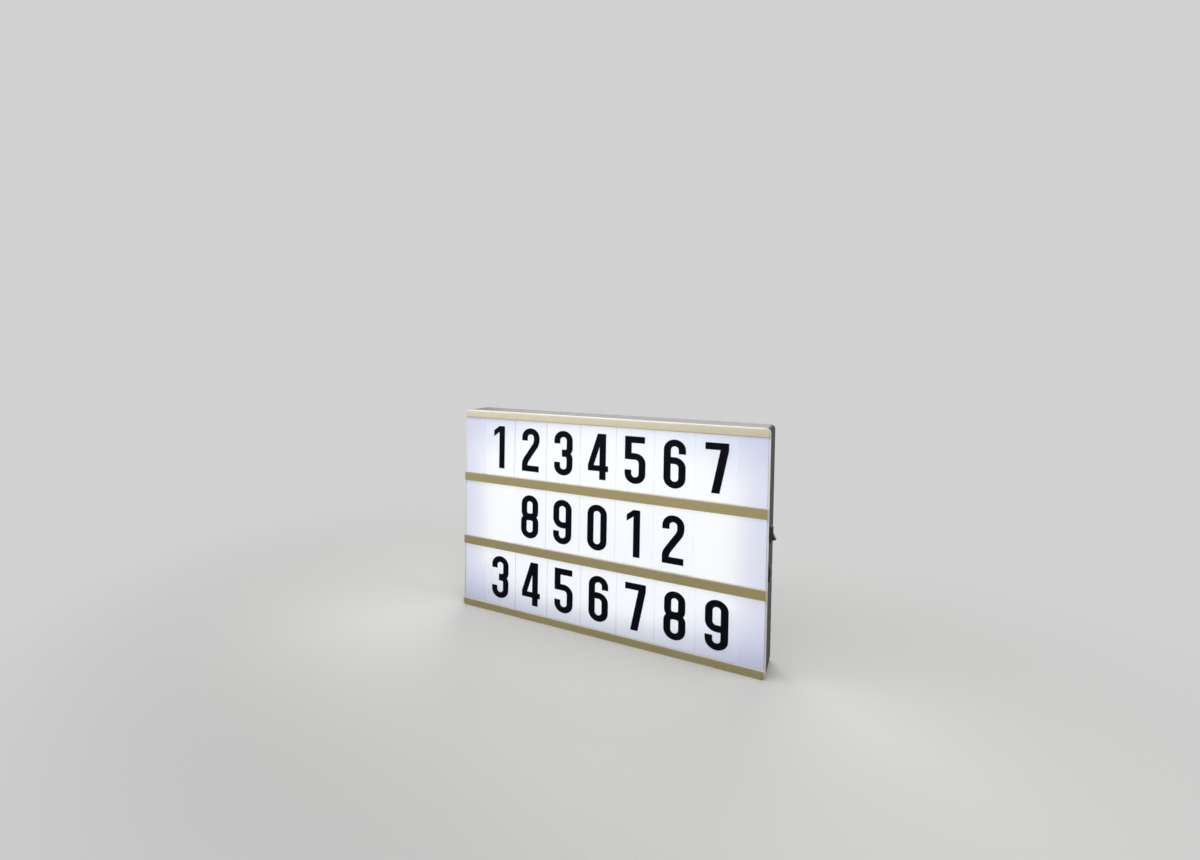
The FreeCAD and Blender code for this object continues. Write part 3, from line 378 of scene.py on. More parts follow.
opal, tree, shader = start_finish("opal acrylic, lit from behind", roughness=0.38, IOR=1.49)
shader.inputs["Base Color"].default_value = linear("#888B8F")
place = add_node(tree, "ShaderNodeTexCoord").outputs["Object"]
total = 0.0
for row, power in ((lower_leds, LOWER_POWER), (upper_leds, UPPER_POWER)):
    for led in row:
        away = add_node(tree, "ShaderNodeVectorMath", {0: place, 1: (led.x, panel_low.y, led.z)},
                        operation="DISTANCE")
        far = add_node(tree, "ShaderNodeMath", {
            0: away.outputs["Value"], 1: GLOW_SPREAD * MM}, operation="DIVIDE")
        square = add_node(tree, "ShaderNodeMath", {
            0: far.outputs[0], 1: far.outputs[0], 2: 1.0}, operation="MULTIPLY_ADD")
        falloff = add_node(tree, "ShaderNodeMath", {0: square.outputs[0], 1: -2.0},
                           operation="POWER")
        total = add_node(tree, "ShaderNodeMath", {
            0: falloff.outputs[0], 1: power, 2: total}, operation="MULTIPLY_ADD").outputs[0]
give(opal, "diffuser_panel")

# %% [markdown]
# The sum is brought to a range from 0 to 1. The side walls shade the last centimetres, so near
# them the glow has a ceiling, and a smooth minimum rounds the bend where it sets in. The dimmer
# light there is bluer. The case's floor takes a little from the lowest three centimetres.

# %% Shade near the walls and the floor, and the glow's warmth
DIMMEST, BRIGHTEST = 0.2, 2.75
GLOW_LEAST, GLOW_MOST = 0.54, 0.82
WALL_SHADE, WALL_CEILING, CEILING_BEND = 45.0, 0.42, 0.12
FLOOR_SHADE, FLOOR_LEAST = 30.0, 0.72
WARMTH_EDGES = (0.05, 0.8)

even = add_node(tree, "ShaderNodeMapRange", {
    "Value": total, "From Min": DIMMEST, "From Max": BRIGHTEST},
    interpolation_type="SMOOTHSTEP")
across = add_node(tree, "ShaderNodeSeparateXYZ", {"Vector": place})
aside = add_node(tree, "ShaderNodeMath", {0: across.outputs["X"]}, operation="ABSOLUTE")
walls = add_node(tree, "ShaderNodeMapRange", {
    "Value": aside.outputs[0], "From Min": panel_high.x - WALL_SHADE * MM,
    "From Max": panel_high.x, "To Min": 1.0, "To Max": WALL_CEILING},
    interpolation_type="SMOOTHSTEP")
shaded = add_node(tree, "ShaderNodeMath", {
    0: even.outputs["Result"], 1: walls.outputs["Result"], 2: CEILING_BEND},
    operation="SMOOTH_MIN")
glow = add_node(tree, "ShaderNodeMapRange", {
    "Value": shaded.outputs[0], "To Min": GLOW_LEAST, "To Max": GLOW_MOST})
near_floor = add_node(tree, "ShaderNodeMapRange", {
    "Value": across.outputs["Z"], "From Min": panel_low.z, "From Max": FLOOR_SHADE * MM,
    "To Min": FLOOR_LEAST, "To Max": 1.0})
strength = add_node(tree, "ShaderNodeMath", {
    0: glow.outputs["Result"], 1: near_floor.outputs["Result"]}, operation="MULTIPLY")
warmth = add_node(tree, "ShaderNodeValToRGB", {"Fac": shaded.outputs[0]})
set_stops(warmth, "#D4D9FF", "#FAFBFF", at=WARMTH_EDGES)
tree.links.new(warmth.outputs["Color"], shader.inputs["Emission Color"])
tree.links.new(strength.outputs[0], shader.inputs["Emission Strength"])
print("glow from", GLOW_LEAST, "to", GLOW_MOST, "in", len(tree.nodes), "nodes")

# %% [markdown]
# ## Clear tiles
#
# A tile is PET film, half a millimetre thick: as clear as glass, with a thin line along its cut
# edge, pale from the front and dark from the side, where light is caught inside the sheet. It is
# glass to the eye and lets the lamps through to the panel. In Blender, glass throws a black shadow
# unless told otherwise, so for shadow rays alone the film is a plain Transparent shader.

# %% Clear film
WAVE, WAVE_DEPTH = 18.0, 0.1

film, tree, shader = start_finish("clear PET film", base_color=linear("#FDFEFF"), roughness=0.03,
                                  IOR=1.57, transmission_weight=1.0)
place = add_node(tree, "ShaderNodeTexCoord").outputs["Object"]
wave = add_node(tree, "ShaderNodeTexNoise", {
    "Vector": place, "Scale": per_mm(WAVE), "Detail": 1.0})
warp = add_node(tree, "ShaderNodeBump", {
    "Height": wave.outputs["Fac"], "Strength": 0.25, "Distance": WAVE_DEPTH * MM})
tree.links.new(warp.outputs["Normal"], shader.inputs["Normal"])
clear = add_node(tree, "ShaderNodeBsdfTransparent", {"Color": linear("#F4F7F8")})
path = add_node(tree, "ShaderNodeLightPath")
either = add_node(tree, "ShaderNodeMixShader", {
    0: path.outputs["Is Shadow Ray"], 1: shader.outputs[0], 2: clear.outputs[0]})
show_instead(tree, either)

tiles = sorted(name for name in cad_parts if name.startswith("tile_"))
give(film, *tiles)

# %% [markdown]
# ## Metal parts
#
# The screws are steel with a bright zinc plating, and the battery contacts are steel with nickel,
# which is a little warmer. Both are metals, so the colour is the colour of the reflection. Plating
# is never a perfect mirror: a noise gives it faint cloudy patches about a millimetre across.

# %% Plated metals
CLOUD = 1.2
CLOUD_BRIGHTER, CLOUD_DULLER = 0.08, 0.1


def plated_metal(name, colour, roughness):
    """Metal with faint cloudy patches that are a little brighter or duller."""
    material, tree, shader = start_finish(
        name, base_color=linear(colour), metallic=1.0, roughness=roughness)
    place = add_node(tree, "ShaderNodeTexCoord").outputs["Object"]
    clouds = add_node(tree, "ShaderNodeTexNoise", {
        "Vector": place, "Scale": per_mm(CLOUD), "Detail": 4.0})
    gloss = add_node(tree, "ShaderNodeMapRange", {
        "Value": clouds.outputs["Fac"], "From Min": NOISE_LOW, "From Max": NOISE_HIGH,
        "To Min": roughness - CLOUD_BRIGHTER, "To Max": roughness + CLOUD_DULLER})
    tree.links.new(gloss.outputs["Result"], shader.inputs["Roughness"])
    return material


zinc = plated_metal("steel, bright zinc plated", "#C5C9CE", 0.28)
nickel = plated_metal("steel, nickel plated", "#CFC9BC", 0.24)
give(zinc, "board_screws", "housing_screws")
give(nickel, "contact_plates", "contact_springs", "switch_terminals", "inlet_contacts")

# %% [markdown]
# ## Light boards, LEDs, resistors and wires
#
# These sit inside the case. The boards are glass-fibre laminate under a white lacquer, through
# which the copper shows as a slightly raised, slightly darker band along the middle. The height,
# folded at half of a board's height, tells how far a point is from the nearer edge. The boards
# stand six board heights apart, so one fold serves both.

# %% White lacquered board
TRACK_FROM, TRACK_TO, TRACK_RISE = 1.6, 1.8, 0.035

board_white, tree, shader = start_finish(
    "glass-fibre board, white lacquer", roughness=0.34, IOR=1.5)
place = add_node(tree, "ShaderNodeTexCoord").outputs["Object"]
spot = add_node(tree, "ShaderNodeSeparateXYZ", {"Vector": place})
low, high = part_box("led_board_lower")
track_gap = (high.z - low.z) / 2
offset = add_node(tree, "ShaderNodeMath", {0: spot.outputs["Z"], 1: low.z}, operation="SUBTRACT")
across = add_node(tree, "ShaderNodeMath", {0: offset.outputs[0], 1: track_gap},
                  operation="PINGPONG")
track = add_node(tree, "ShaderNodeMapRange", {
    "Value": across.outputs[0], "From Min": TRACK_FROM * MM, "From Max": TRACK_TO * MM})
shade = add_node(tree, "ShaderNodeValToRGB", {"Fac": track.outputs["Result"]})
set_stops(shade, "#EEF0EC", "#DADFD6")
tree.links.new(shade.outputs["Color"], shader.inputs["Base Color"])
raised = add_node(tree, "ShaderNodeBump", {
    "Height": track.outputs["Result"], "Strength": 0.5, "Distance": TRACK_RISE * MM})
tree.links.new(raised.outputs["Normal"], shader.inputs["Normal"])
give(board_white, "led_board_lower", "led_board_upper")

# %% [markdown]
# An LED is a white resin body with a round window of yellow phosphor. The LEDs of a row are one
# piece here, so a remainder finds the nearest one's middle, and the distance from it draws the
# window. A chip resistor is a ceramic block with a dark top and bright tinned ends, found the same
# way. The wires have soft PVC insulation with a dull shine.

# %% LED resin
WINDOW_FROM, WINDOW_TO = 1.6, 1.9


def nearest_x(tree, spot, first, pitch):
    """How far, along X, a point is from the nearest of a row of evenly spaced places."""
    start = add_node(tree, "ShaderNodeMath", {0: spot.outputs["X"], 1: first - pitch / 2},
                     operation="SUBTRACT")
    step = add_node(tree, "ShaderNodeMath", {0: start.outputs[0], 1: pitch},
                    operation="FLOORED_MODULO")
    middle = add_node(tree, "ShaderNodeMath", {0: step.outputs[0], 1: pitch / 2},
                      operation="SUBTRACT")
    return add_node(tree, "ShaderNodeMath", {0: middle.outputs[0]}, operation="ABSOLUTE").outputs[0]


def led_resin(name, row):
    """White resin with a round window of yellow phosphor about each LED's own middle."""
    material, tree, shader = start_finish(name, roughness=0.3, IOR=1.52)
    spot = add_node(tree, "ShaderNodeSeparateXYZ", {
        "Vector": add_node(tree, "ShaderNodeTexCoord").outputs["Object"]})
    aside = nearest_x(tree, spot, row[0].x, row[1].x - row[0].x)
    above = add_node(tree, "ShaderNodeMath", {0: spot.outputs["Z"], 1: row[0].z},
                     operation="SUBTRACT")
    flat = add_node(tree, "ShaderNodeCombineXYZ", {"X": aside, "Y": above.outputs[0]})
    out = add_node(tree, "ShaderNodeVectorMath", {0: flat.outputs[0]}, operation="LENGTH")
    window = add_node(tree, "ShaderNodeMapRange", {
        "Value": out.outputs["Value"], "From Min": WINDOW_FROM * MM, "From Max": WINDOW_TO * MM})
    shade = add_node(tree, "ShaderNodeValToRGB", {"Fac": window.outputs["Result"]})
    set_stops(shade, "#E9C63F", "#F1F0EA")
    tree.links.new(shade.outputs["Color"], shader.inputs["Base Color"])
    return material


give(led_resin("white resin and phosphor, lower row", lower_leds), "leds_lower")
give(led_resin("white resin and phosphor, upper row", upper_leds), "leds_upper")

# %% Resistor ceramic and wire insulation
CHIP_LONG, CHIP_DARK_HALF = 3.2, 1.1
PVC = {"roughness": 0.34, "grain": 0.6, "depth": 0.01}

chip, tree, shader = start_finish("ceramic resistor, tinned ends", roughness=0.3)
chip_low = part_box("led_resistors")[0]
spot = add_node(tree, "ShaderNodeSeparateXYZ", {
    "Vector": add_node(tree, "ShaderNodeTexCoord").outputs["Object"]})
aside = nearest_x(tree, spot, chip_low.x + CHIP_LONG * MM / 2, lower_leds[1].x - lower_leds[0].x)
tinned = add_node(tree, "ShaderNodeMath", {0: aside, 1: CHIP_DARK_HALF * MM},
                  operation="GREATER_THAN")
shade = add_node(tree, "ShaderNodeValToRGB", {"Fac": tinned.outputs[0]})
set_stops(shade, "#26262A", "#D3D6DA")
tree.links.new(shade.outputs["Color"], shader.inputs["Base Color"])
tree.links.new(tinned.outputs[0], shader.inputs["Metallic"])
give(chip, "led_resistors")

give(moulded_plastic("soft PVC, red", "#B01A1E", "#A5161A", **PVC), "wires_red")
give(moulded_plastic("soft PVC, black", "#1A1A1C", "#202022", **PVC), "wires_black")

# %% [markdown]
# ## Printed characters
#
# Each tile carries one black character, 46 mm tall, in a narrow upright face whose strokes are all
# 6.4 mm wide. Such a face can be drawn with a broad nib: an edge as long as the stroke is wide,
# dragged along straight runs and swung round bends. In bmesh the drag is an extrusion, and the
# swing is a spin. The ink is a layer a few hundredths of a millimetre thick on the tile's front.
#
# Where two strokes of a digit cross, they must not lie in exactly the same plane, or the renderer
# can't tell which is in front and speckles the patch. So each stroke starts a hair, four microns,
# in front of the one before it. The step is far too small to see.

# %% The nib
STROKE = 6.4
TALL, BROAD = 46.0, 19.6
OVERPRINT = 0.004
REACH_X, REACH_Z = (BROAD - STROKE) / 2, (TALL - STROKE) / 2
BEND_STEPS = 14


def fresh_layer(page):
    """How far forward, in mm, the next stroke lies: a hair in front of all strokes before it."""
    return min((corner.co.y / MM for corner in page.verts), default=0) - OVERPRINT


def corners_of(geometry):
    """The vertices in what an operator gives back."""
    return [item for item in geometry if isinstance(item, bmesh.types.BMVert)]


def drag(page, start, end, move):
    """A straight-edged bar: the edge from start to end, moved by move. All are (x, z) in mm."""
    front = fresh_layer(page)
    corners = [page.verts.new(Vector((x, front, z)) * MM) for x, z in (start, end)]
    made = bmesh.ops.extrude_edge_only(page, edges=[page.edges.new(corners)])["geom"]
    bmesh.ops.translate(page, verts=corners_of(made), vec=Vector((move[0], 0, move[1])) * MM)


def write_stroke(page, x, z, heading, moves):
    """Drags the nib from (x, z). A move is a run in mm, or a bend as (degrees, radius)."""
    middle, angle = Vector((x, fresh_layer(page), z)) * MM, math.radians(heading)
    side = Vector((-math.sin(angle), 0, math.cos(angle)))
    ends = [page.verts.new(middle + side * reach * MM) for reach in (STROKE / 2, -STROKE / 2)]
    nib = [*ends, page.edges.new(ends)]
    for move in moves:
        ahead = Vector((math.cos(angle), 0, math.sin(angle)))
        side = Vector((-math.sin(angle), 0, math.cos(angle)))
        if isinstance(move, tuple):
            bend, radius = math.radians(move[0]), move[1] * MM
            centre = middle + side * math.copysign(radius, bend)
            nib = bmesh.ops.spin(
                page, geom=nib, cent=centre, axis=(0, -1, 0), angle=bend,
                steps=BEND_STEPS, use_merge=False, use_duplicate=False)["geom_last"]
            middle = centre + Matrix.Rotation(bend, 3, (0, -1, 0)) @ (middle - centre)
            angle += bend
        else:
            edges = [item for item in nib if isinstance(item, bmesh.types.BMEdge)]
            made = bmesh.ops.extrude_edge_only(page, edges=edges)["geom"]
            moving = corners_of(made)
            nib = moving + [item for item in made if isinstance(item, bmesh.types.BMEdge)
                            and all(corner in moving for corner in item.verts)]
            bmesh.ops.translate(page, verts=moving, vec=ahead * move * MM)
            middle = middle + ahead * move * MM

# %% [markdown]
# Every digit fits one box, 19.6 mm wide, apart from the four, whose bar stands out by 0.4 mm at
# both sides. The round parts are half circles as wide as the box, and an open curve ends in a short
# hook. The two's slope is an S of two bends with a straight run between them, so two small sums
# find how long that run is and how far the whole slope comes down.

# %% Zero to three
ROUND = REACH_X
UPPER = REACH_Z - ROUND
HOOK = 3.6
EDGE_X, EDGE_Z = BROAD / 2, TALL / 2
SLOPE, SLOPE_BEND = 33.0, 12.0
WAIST, WAIST_BEND = 0.5, 4.8


def slope_run():
    """The straight part of the two's slope, so that it starts and ends under the curves."""
    bends = 2 * SLOPE_BEND * (1 - math.cos(math.radians(SLOPE)))
    return (2 * REACH_X - bends) / math.sin(math.radians(SLOPE))


def slope_drop():
    """How far the two's whole slope comes down."""
    angle = math.radians(SLOPE)
    return 2 * SLOPE_BEND * math.sin(angle) + slope_run() * math.cos(angle)


def write_stem(page, middle):
    """An upright bar as tall as the digit."""
    drag(page, (middle - STROKE / 2, -EDGE_Z), (middle + STROKE / 2, -EDGE_Z), (0, TALL))


def write_zero(page):
    write_stroke(page, -REACH_X, 0, 90, [
        UPPER, (-180, ROUND), 2 * UPPER, (-180, ROUND), UPPER])


def write_one(page):
    stem, flag_tall, flag_out, flag_drop = 2.6, 6.6, 6.4, 5.0
    write_stem(page, stem)
    drag(page, (stem - STROKE / 2, EDGE_Z), (stem - STROKE / 2, EDGE_Z - flag_tall),
         (-flag_out, -flag_drop))


def write_two(page):
    foot, foot_short = -EDGE_Z + STROKE, 0.4
    write_stroke(page, -REACH_X, UPPER - HOOK, 90, [
        HOOK, (-180, ROUND), UPPER - foot - slope_drop(),
        (-SLOPE, SLOPE_BEND), slope_run(), (SLOPE, SLOPE_BEND)])
    drag(page, (-EDGE_X, foot), (-EDGE_X, -EDGE_Z), (BROAD - foot_short, 0))


def write_three(page):
    side, past_bend = UPPER - WAIST - WAIST_BEND, 1.6
    arm = REACH_X - WAIST_BEND + past_bend
    write_stroke(page, -REACH_X, UPPER - HOOK, 90, [
        HOOK, (-180, ROUND), side, (-90, WAIST_BEND), arm])
    write_stroke(page, -REACH_X, HOOK - UPPER, -90, [
        HOOK, (180, ROUND), side, (90, WAIST_BEND), arm])


# %% Four to six
def write_four(page):
    stem, bar_low, bar_high, bar_over = 4.6, -14.6, -8.8, 0.4
    slope_left, slope_right, slope_out = -0.6, 5.4, 9.6
    write_stem(page, stem)
    drag(page, (-EDGE_X - bar_over, bar_high), (-EDGE_X - bar_over, bar_low),
         (BROAD + 2 * bar_over, 0))
    drag(page, (slope_left, EDGE_Z), (slope_right, EDGE_Z), (-slope_out, bar_high - EDGE_Z))


def write_five(page):
    bowl, top_short = 3.6, 0.8
    drag(page, (-EDGE_X, EDGE_Z), (-EDGE_X, EDGE_Z - STROKE), (BROAD - top_short, 0))
    drag(page, (-EDGE_X, EDGE_Z - STROKE), (-EDGE_X + STROKE, EDGE_Z - STROKE),
         (0, bowl - STROKE / 2 - EDGE_Z + STROKE))
    write_stroke(page, -EDGE_X + STROKE, bowl, 0, [
        EDGE_X - STROKE, (-90, ROUND), UPPER + bowl - ROUND, (-180, ROUND), HOOK])


def write_six(page):
    bowl = 3.2
    write_stroke(page, REACH_X, UPPER - HOOK, 90, [
        HOOK, (180, ROUND), 2 * UPPER, (180, ROUND), UPPER + bowl - ROUND, (90, ROUND),
        EDGE_X - STROKE])

# %% [markdown]
# The eight is two closed rings that meet at the waist, and the upper one is a little narrower. A
# six turned upside down is a nine.

# %% Seven to nine
def write_seven(page):
    slope_wide, slope_out = 7.0, 7.2
    drag(page, (-EDGE_X, EDGE_Z), (-EDGE_X, EDGE_Z - STROKE), (BROAD, 0))
    drag(page, (EDGE_X - slope_wide, EDGE_Z - STROKE), (EDGE_X, EDGE_Z - STROKE),
         (-slope_out, STROKE - TALL))


def write_eight(page):
    for up, narrower in ((1, 0.4), (-1, 0)):
        half = REACH_X - narrower
        side = REACH_Z - WAIST - half - WAIST_BEND
        start = WAIST + WAIST_BEND + side / 2
        write_stroke(page, -half, up * start, 90 * up, [
            side / 2, (-180 * up, half), side, (-90 * up, WAIST_BEND),
            2 * (half - WAIST_BEND), (-90 * up, WAIST_BEND), side / 2])


def write_nine(page):
    write_six(page)
    bmesh.ops.rotate(page, verts=page.verts, cent=(0, 0, 0),
                     matrix=Matrix.Rotation(math.pi, 3, "Y"))


WRITERS = (write_zero, write_one, write_two, write_three, write_four,
           write_five, write_six, write_seven, write_eight, write_nine)
print(len(WRITERS), "digits can be written")

# %% [markdown]
# The ink is screen-printed: matt, a touch blue, and with the faint weave of the screen in it, which
# moves its colour and bumps it by a hundredth of a millimetre.

# %% Ink
WEAVE, WEAVE_DEPTH = 0.5, 0.01

ink, tree, shader = start_finish(
    "screen ink, matt black", roughness=0.65, IOR=1.5, specular_ior_level=0.06)
place = add_node(tree, "ShaderNodeTexCoord").outputs["Object"]
weave = add_node(tree, "ShaderNodeTexNoise", {
    "Vector": place, "Scale": per_mm(WEAVE), "Detail": 2.0})
shade = add_node(tree, "ShaderNodeValToRGB", {"Fac": weave.outputs["Fac"]})
set_stops(shade, "#05080E", "#0A0D16")
tree.links.new(shade.outputs["Color"], shader.inputs["Base Color"])
mesh_marks = add_node(tree, "ShaderNodeBump", {
    "Height": weave.outputs["Fac"], "Strength": 0.3, "Distance": WEAVE_DEPTH * MM})
tree.links.new(mesh_marks.outputs["Normal"], shader.inputs["Normal"])
print(ink.name, "in", len(tree.nodes), "nodes")

# %% [markdown]
# The rows carry plain digits: one to seven, eight to two, and three to nine. Each digit is written
# flat, thickened into a plate and laid on the front of its tile, and rides on the body of its row.

# %% A digit on every tile
INK, INK_GAP = 0.05, 0.01
SAME_PLACE = 0.001
ROW_BODIES = {"1": "top_tiles", "2": "middle_tiles", "3": "bottom_tiles"}
FIRST_DIGIT = {"1": 1, "2": 8, "3": 3}


def new_piece(name, page, body, finish):
    """Turns a bmesh into an object that rides on a body."""
    bmesh.ops.recalc_face_normals(page, faces=page.faces)
    mesh = bpy.data.meshes.new(name)
    page.to_mesh(mesh)
    page.free()
    mesh.materials.append(finish)
    piece = bpy.data.objects.new(name, mesh)
    scene.collection.objects.link(piece)
    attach(piece, body)
    return piece


def thicken(page, move):
    """Closes flat faces into a plate by extruding all of them along one vector."""
    made = bmesh.ops.extrude_face_region(page, geom=page.faces)["geom"]
    bmesh.ops.translate(page, verts=corners_of(made), vec=move)


def print_digit(tile):
    """Draws a tile's digit and lays it on the tile's front as a thin layer of ink."""
    row, number = tile.split("_")[1:]
    digit = (FIRST_DIGIT[row] + int(number) - 1) % 10
    low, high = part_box(tile)
    page = bmesh.new()
    WRITERS[digit](page)
    bmesh.ops.remove_doubles(page, verts=page.verts, dist=SAME_PLACE * MM)
    thicken(page, Vector((0, -INK, 0)) * MM)
    middle = Vector(((low.x + high.x) / 2, low.y - INK_GAP * MM, (low.z + high.z) / 2))
    bmesh.ops.translate(page, verts=page.verts, vec=middle)
    return new_piece(f"digit_{row}_{number}", page, ROW_BODIES[row], ink)


digits = [print_digit(tile) for tile in tiles]
print(len(digits), "digits,", sum(len(d.data.polygons) for d in digits), "faces")

# %% [markdown]
# ## Marks on the switch
#
# A rocker is pressed at the end that carries the line, for ON, or the ring, for OFF. The marks are
# pad-printed in white. Each one is made flat, a ring from a disc with an inset and a line from a
# square that is stretched, and then set on its face of the rocker. Which way that face looks, and
# where its middle is, are read from the rocker's own triangles, so the marks can't float.

# %% Line and ring on the rocker
MARK = 0.06
LINE_WIDE, LINE_TALL = 0.5, 2.6
RING, RING_WIDE, RING_SIDES = 1.3, 0.45, 40
ROCKER_BEND = 26.0
SAME_WAY = 0.999


def face_of_rocker(lean):
    """The middle and the normal of the rocker's face that leans up by an angle from +X."""
    towards = Vector((math.cos(math.radians(lean)), 0, math.sin(math.radians(lean))))
    faces = [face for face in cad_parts["switch_rocker"].data.polygons
             if face.normal.dot(towards) > SAME_WAY]
    area = sum(face.area for face in faces)
    return sum((face.center * face.area for face in faces), Vector()) / area, towards


def print_mark(name, page, lean):
    """Thickens a flat mark and sets it on the rocker's face that leans by an angle."""
    thicken(page, Vector((0, 0, MARK)) * MM)
    middle, towards = face_of_rocker(lean)
    turn_to = towards.to_track_quat("Z", "Y").to_matrix().to_4x4()
    bmesh.ops.transform(page, verts=page.verts, matrix=Matrix.Translation(middle) @ turn_to)
    return new_piece(name, page, "rocker", mark_white)


def small_square(page):
    """A flat square with sides of 1 mm. Gives its corners."""
    return bmesh.ops.create_grid(page, x_segments=1, y_segments=1, size=MM / 2)["verts"]


mark_white = moulded_plastic("pad-printing ink, white", "#E8E8E4", "#DFDFDB", 0.5, depth=0.005)

page = bmesh.new()
bmesh.ops.scale(page, verts=small_square(page), vec=(LINE_WIDE, LINE_TALL, 1))
print_mark("rocker_line", page, 0)

page = bmesh.new()
bmesh.ops.create_circle(page, cap_ends=True, segments=RING_SIDES, radius=RING * MM)
bmesh.ops.inset_individual(
    page, faces=page.faces[:], thickness=RING_WIDE * MM, use_even_offset=True)
hole = max(page.faces, key=lambda face: len(face.verts))
bmesh.ops.delete(page, geom=[hole], context="FACES_ONLY")
ring = print_mark("rocker_ring", page, ROCKER_BEND)
print("ring on the rocker:", len(ring.data.polygons), "faces")

# %% [markdown]
# ## The battery door and the signs under it
#
# The door has a push mark, an arrow head sunk 0.3 mm into the plastic above the hinge. It is far
# smaller than the door's own outline, so it is a bump: nodes measure how far a point is inside the
# arrow head's sides, its top and the door's outer face, and the smallest of these numbers gives the
# depth of the mark.

# %% Push mark on the door
PUSH_TOP, PUSH_TIP, PUSH_HALF = 57.0, 51.0, 4.2
PUSH_EDGE, PUSH_DEPTH = 0.35, 0.3
DOOR_SKIN = 0.5

door_abs = moulded_plastic("moulded ABS, warm dark grey, door", **DARK_GREY)
tree = door_abs.node_tree
shader = tree.nodes["Principled BSDF"]
spot = add_node(tree, "ShaderNodeSeparateXYZ", {
    "Vector": add_node(tree, "ShaderNodeTexCoord").outputs["Object"]})
aside = add_node(tree, "ShaderNodeMath", {0: spot.outputs["X"]}, operation="ABSOLUTE")
up = add_node(tree, "ShaderNodeMath", {0: spot.outputs["Z"], 1: PUSH_TIP * MM},
              operation="SUBTRACT")
side_at = add_node(tree, "ShaderNodeMath", {
    0: up.outputs[0], 1: PUSH_HALF / (PUSH_TOP - PUSH_TIP)}, operation="MULTIPLY")
from_side = add_node(tree, "ShaderNodeMath", {0: side_at.outputs[0], 1: aside.outputs[0]},
                     operation="SUBTRACT")
from_top = add_node(tree, "ShaderNodeMath", {0: PUSH_TOP * MM, 1: spot.outputs["Z"]},
                    operation="SUBTRACT")
door_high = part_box("battery_cover")[1]
outer = add_node(tree, "ShaderNodeMath", {
    0: spot.outputs["Y"], 1: door_high.y - DOOR_SKIN * MM}, operation="SUBTRACT")
within = from_side.outputs[0]
for limit in (from_top, outer):
    within = add_node(tree, "ShaderNodeMath", {0: within, 1: limit.outputs[0]},
                      operation="MINIMUM").outputs[0]
sunk = add_node(tree, "ShaderNodeMapRange", {
    "Value": within, "From Min": 0.0, "From Max": PUSH_EDGE * MM,
    "To Min": 1.0, "To Max": 0.0}, interpolation_type="SMOOTHSTEP")
pressed = add_node(tree, "ShaderNodeBump", {
    "Height": sunk.outputs["Result"], "Strength": 1.0, "Distance": PUSH_DEPTH * MM,
    "Normal": shader.inputs["Normal"].links[0].from_socket})
tree.links.new(pressed.outputs["Normal"], shader.inputs["Normal"])
give(door_abs, "battery_cover")

# %% [markdown]
# Under the door, the floor of the bay shows how the cells go in: for each one a raised outline with
# its button, and a plus and a minus sign. A cell's flat end, the minus, meets the spring. The
# springs are at the top for one cell and at the bottom for the next, so every second sign is
# turned over. The lines are only 0.25 mm high, lower than the gap under a cell.

# %% Outlines and signs in the battery bay
CELLS, CELL_PITCH = 6, 15.0
LINE, LINE_RISE = 0.6, 0.25
CONTACT_GAP, CONTACT_TAB = 0.35, 5.0
OUTLINE_X, OUTLINE_Z = 5.0, 17.0
BUTTON_X, BUTTON_Z, BUTTON_RISE, BUTTON_TOP = 1.6, 17.9, 1.2, 18.7
SIGN_Z, SIGN_HALF = 12.0, 1.8

plates_low, plates_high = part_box("contact_plates")
bay_floor = plates_low.y - CONTACT_GAP * MM
bay_middle = (plates_low.z + (plates_high.z - CONTACT_TAB * MM)) / 2


def bar(page, x, z, wide, tall):
    """A flat bar on the bay's floor, in mm from the middle of a cell."""
    flat = Matrix.Rotation(math.pi / 2, 4, "X") @ Matrix.Diagonal((wide, tall, 1, 1))
    bmesh.ops.transform(page, verts=small_square(page),
                        matrix=Matrix.Translation(Vector((x, 0, z)) * MM) @ flat)


signs = bmesh.new()
for cell in range(CELLS):
    before = len(signs.verts)
    for side in (-1, 1):
        bar(signs, OUTLINE_X * side, 0, LINE, 2 * OUTLINE_Z)
        bar(signs, 0, OUTLINE_Z * side, 2 * OUTLINE_X + LINE, LINE)
        bar(signs, BUTTON_X * side, BUTTON_Z, LINE, BUTTON_RISE)
    bar(signs, 0, BUTTON_TOP, 2 * BUTTON_X + LINE, LINE)
    bar(signs, 0, SIGN_Z, 2 * SIGN_HALF, LINE)
    for side in (1, -1):
        bar(signs, 0, SIGN_Z + side * (SIGN_HALF + LINE / 2) / 2, LINE, SIGN_HALF - LINE / 2)
    bar(signs, 0, -SIGN_Z, 2 * SIGN_HALF, LINE)
    signs.verts.ensure_lookup_table()
    corners = signs.verts[before:]
    if cell % 2 == 0:
        bmesh.ops.rotate(signs, verts=corners, cent=(0, 0, 0),
                         matrix=Matrix.Rotation(math.pi, 3, "Y"))
    middle = Vector((CELL_PITCH * (cell - (CELLS - 1) / 2) * MM, bay_floor, bay_middle))
    bmesh.ops.translate(signs, verts=corners, vec=middle)
thicken(signs, Vector((0, LINE_RISE, 0)) * MM)
new_piece("cell_signs", signs, "box", grey_abs)
print("bay floor at Y", round(bay_floor / MM, 2), "mm, middle of the cells at Z",
      round(bay_middle / MM, 1), "mm")

# %% [markdown]
# ## Light seals
#
# The panel is notched at its edges for the six screw bosses, and an eye above the box could look
# over a rail into the notches. A thin strip of the same opal acrylic is stuck along the panel's
# lower and upper edges and closes them. It starts inside the rail's groove, ends just past the
# rail, and lies flat on the panel, so the tiles still slide in front of it. At both ends it
# bridges the hair gap beside the panel.

# %% Strips along the panel's edges
SEAL, SEAL_GAP = 0.03, 0.01
SEAL_FROM, SEAL_TO, SEAL_OVER = 3.9, 6.9, 0.25

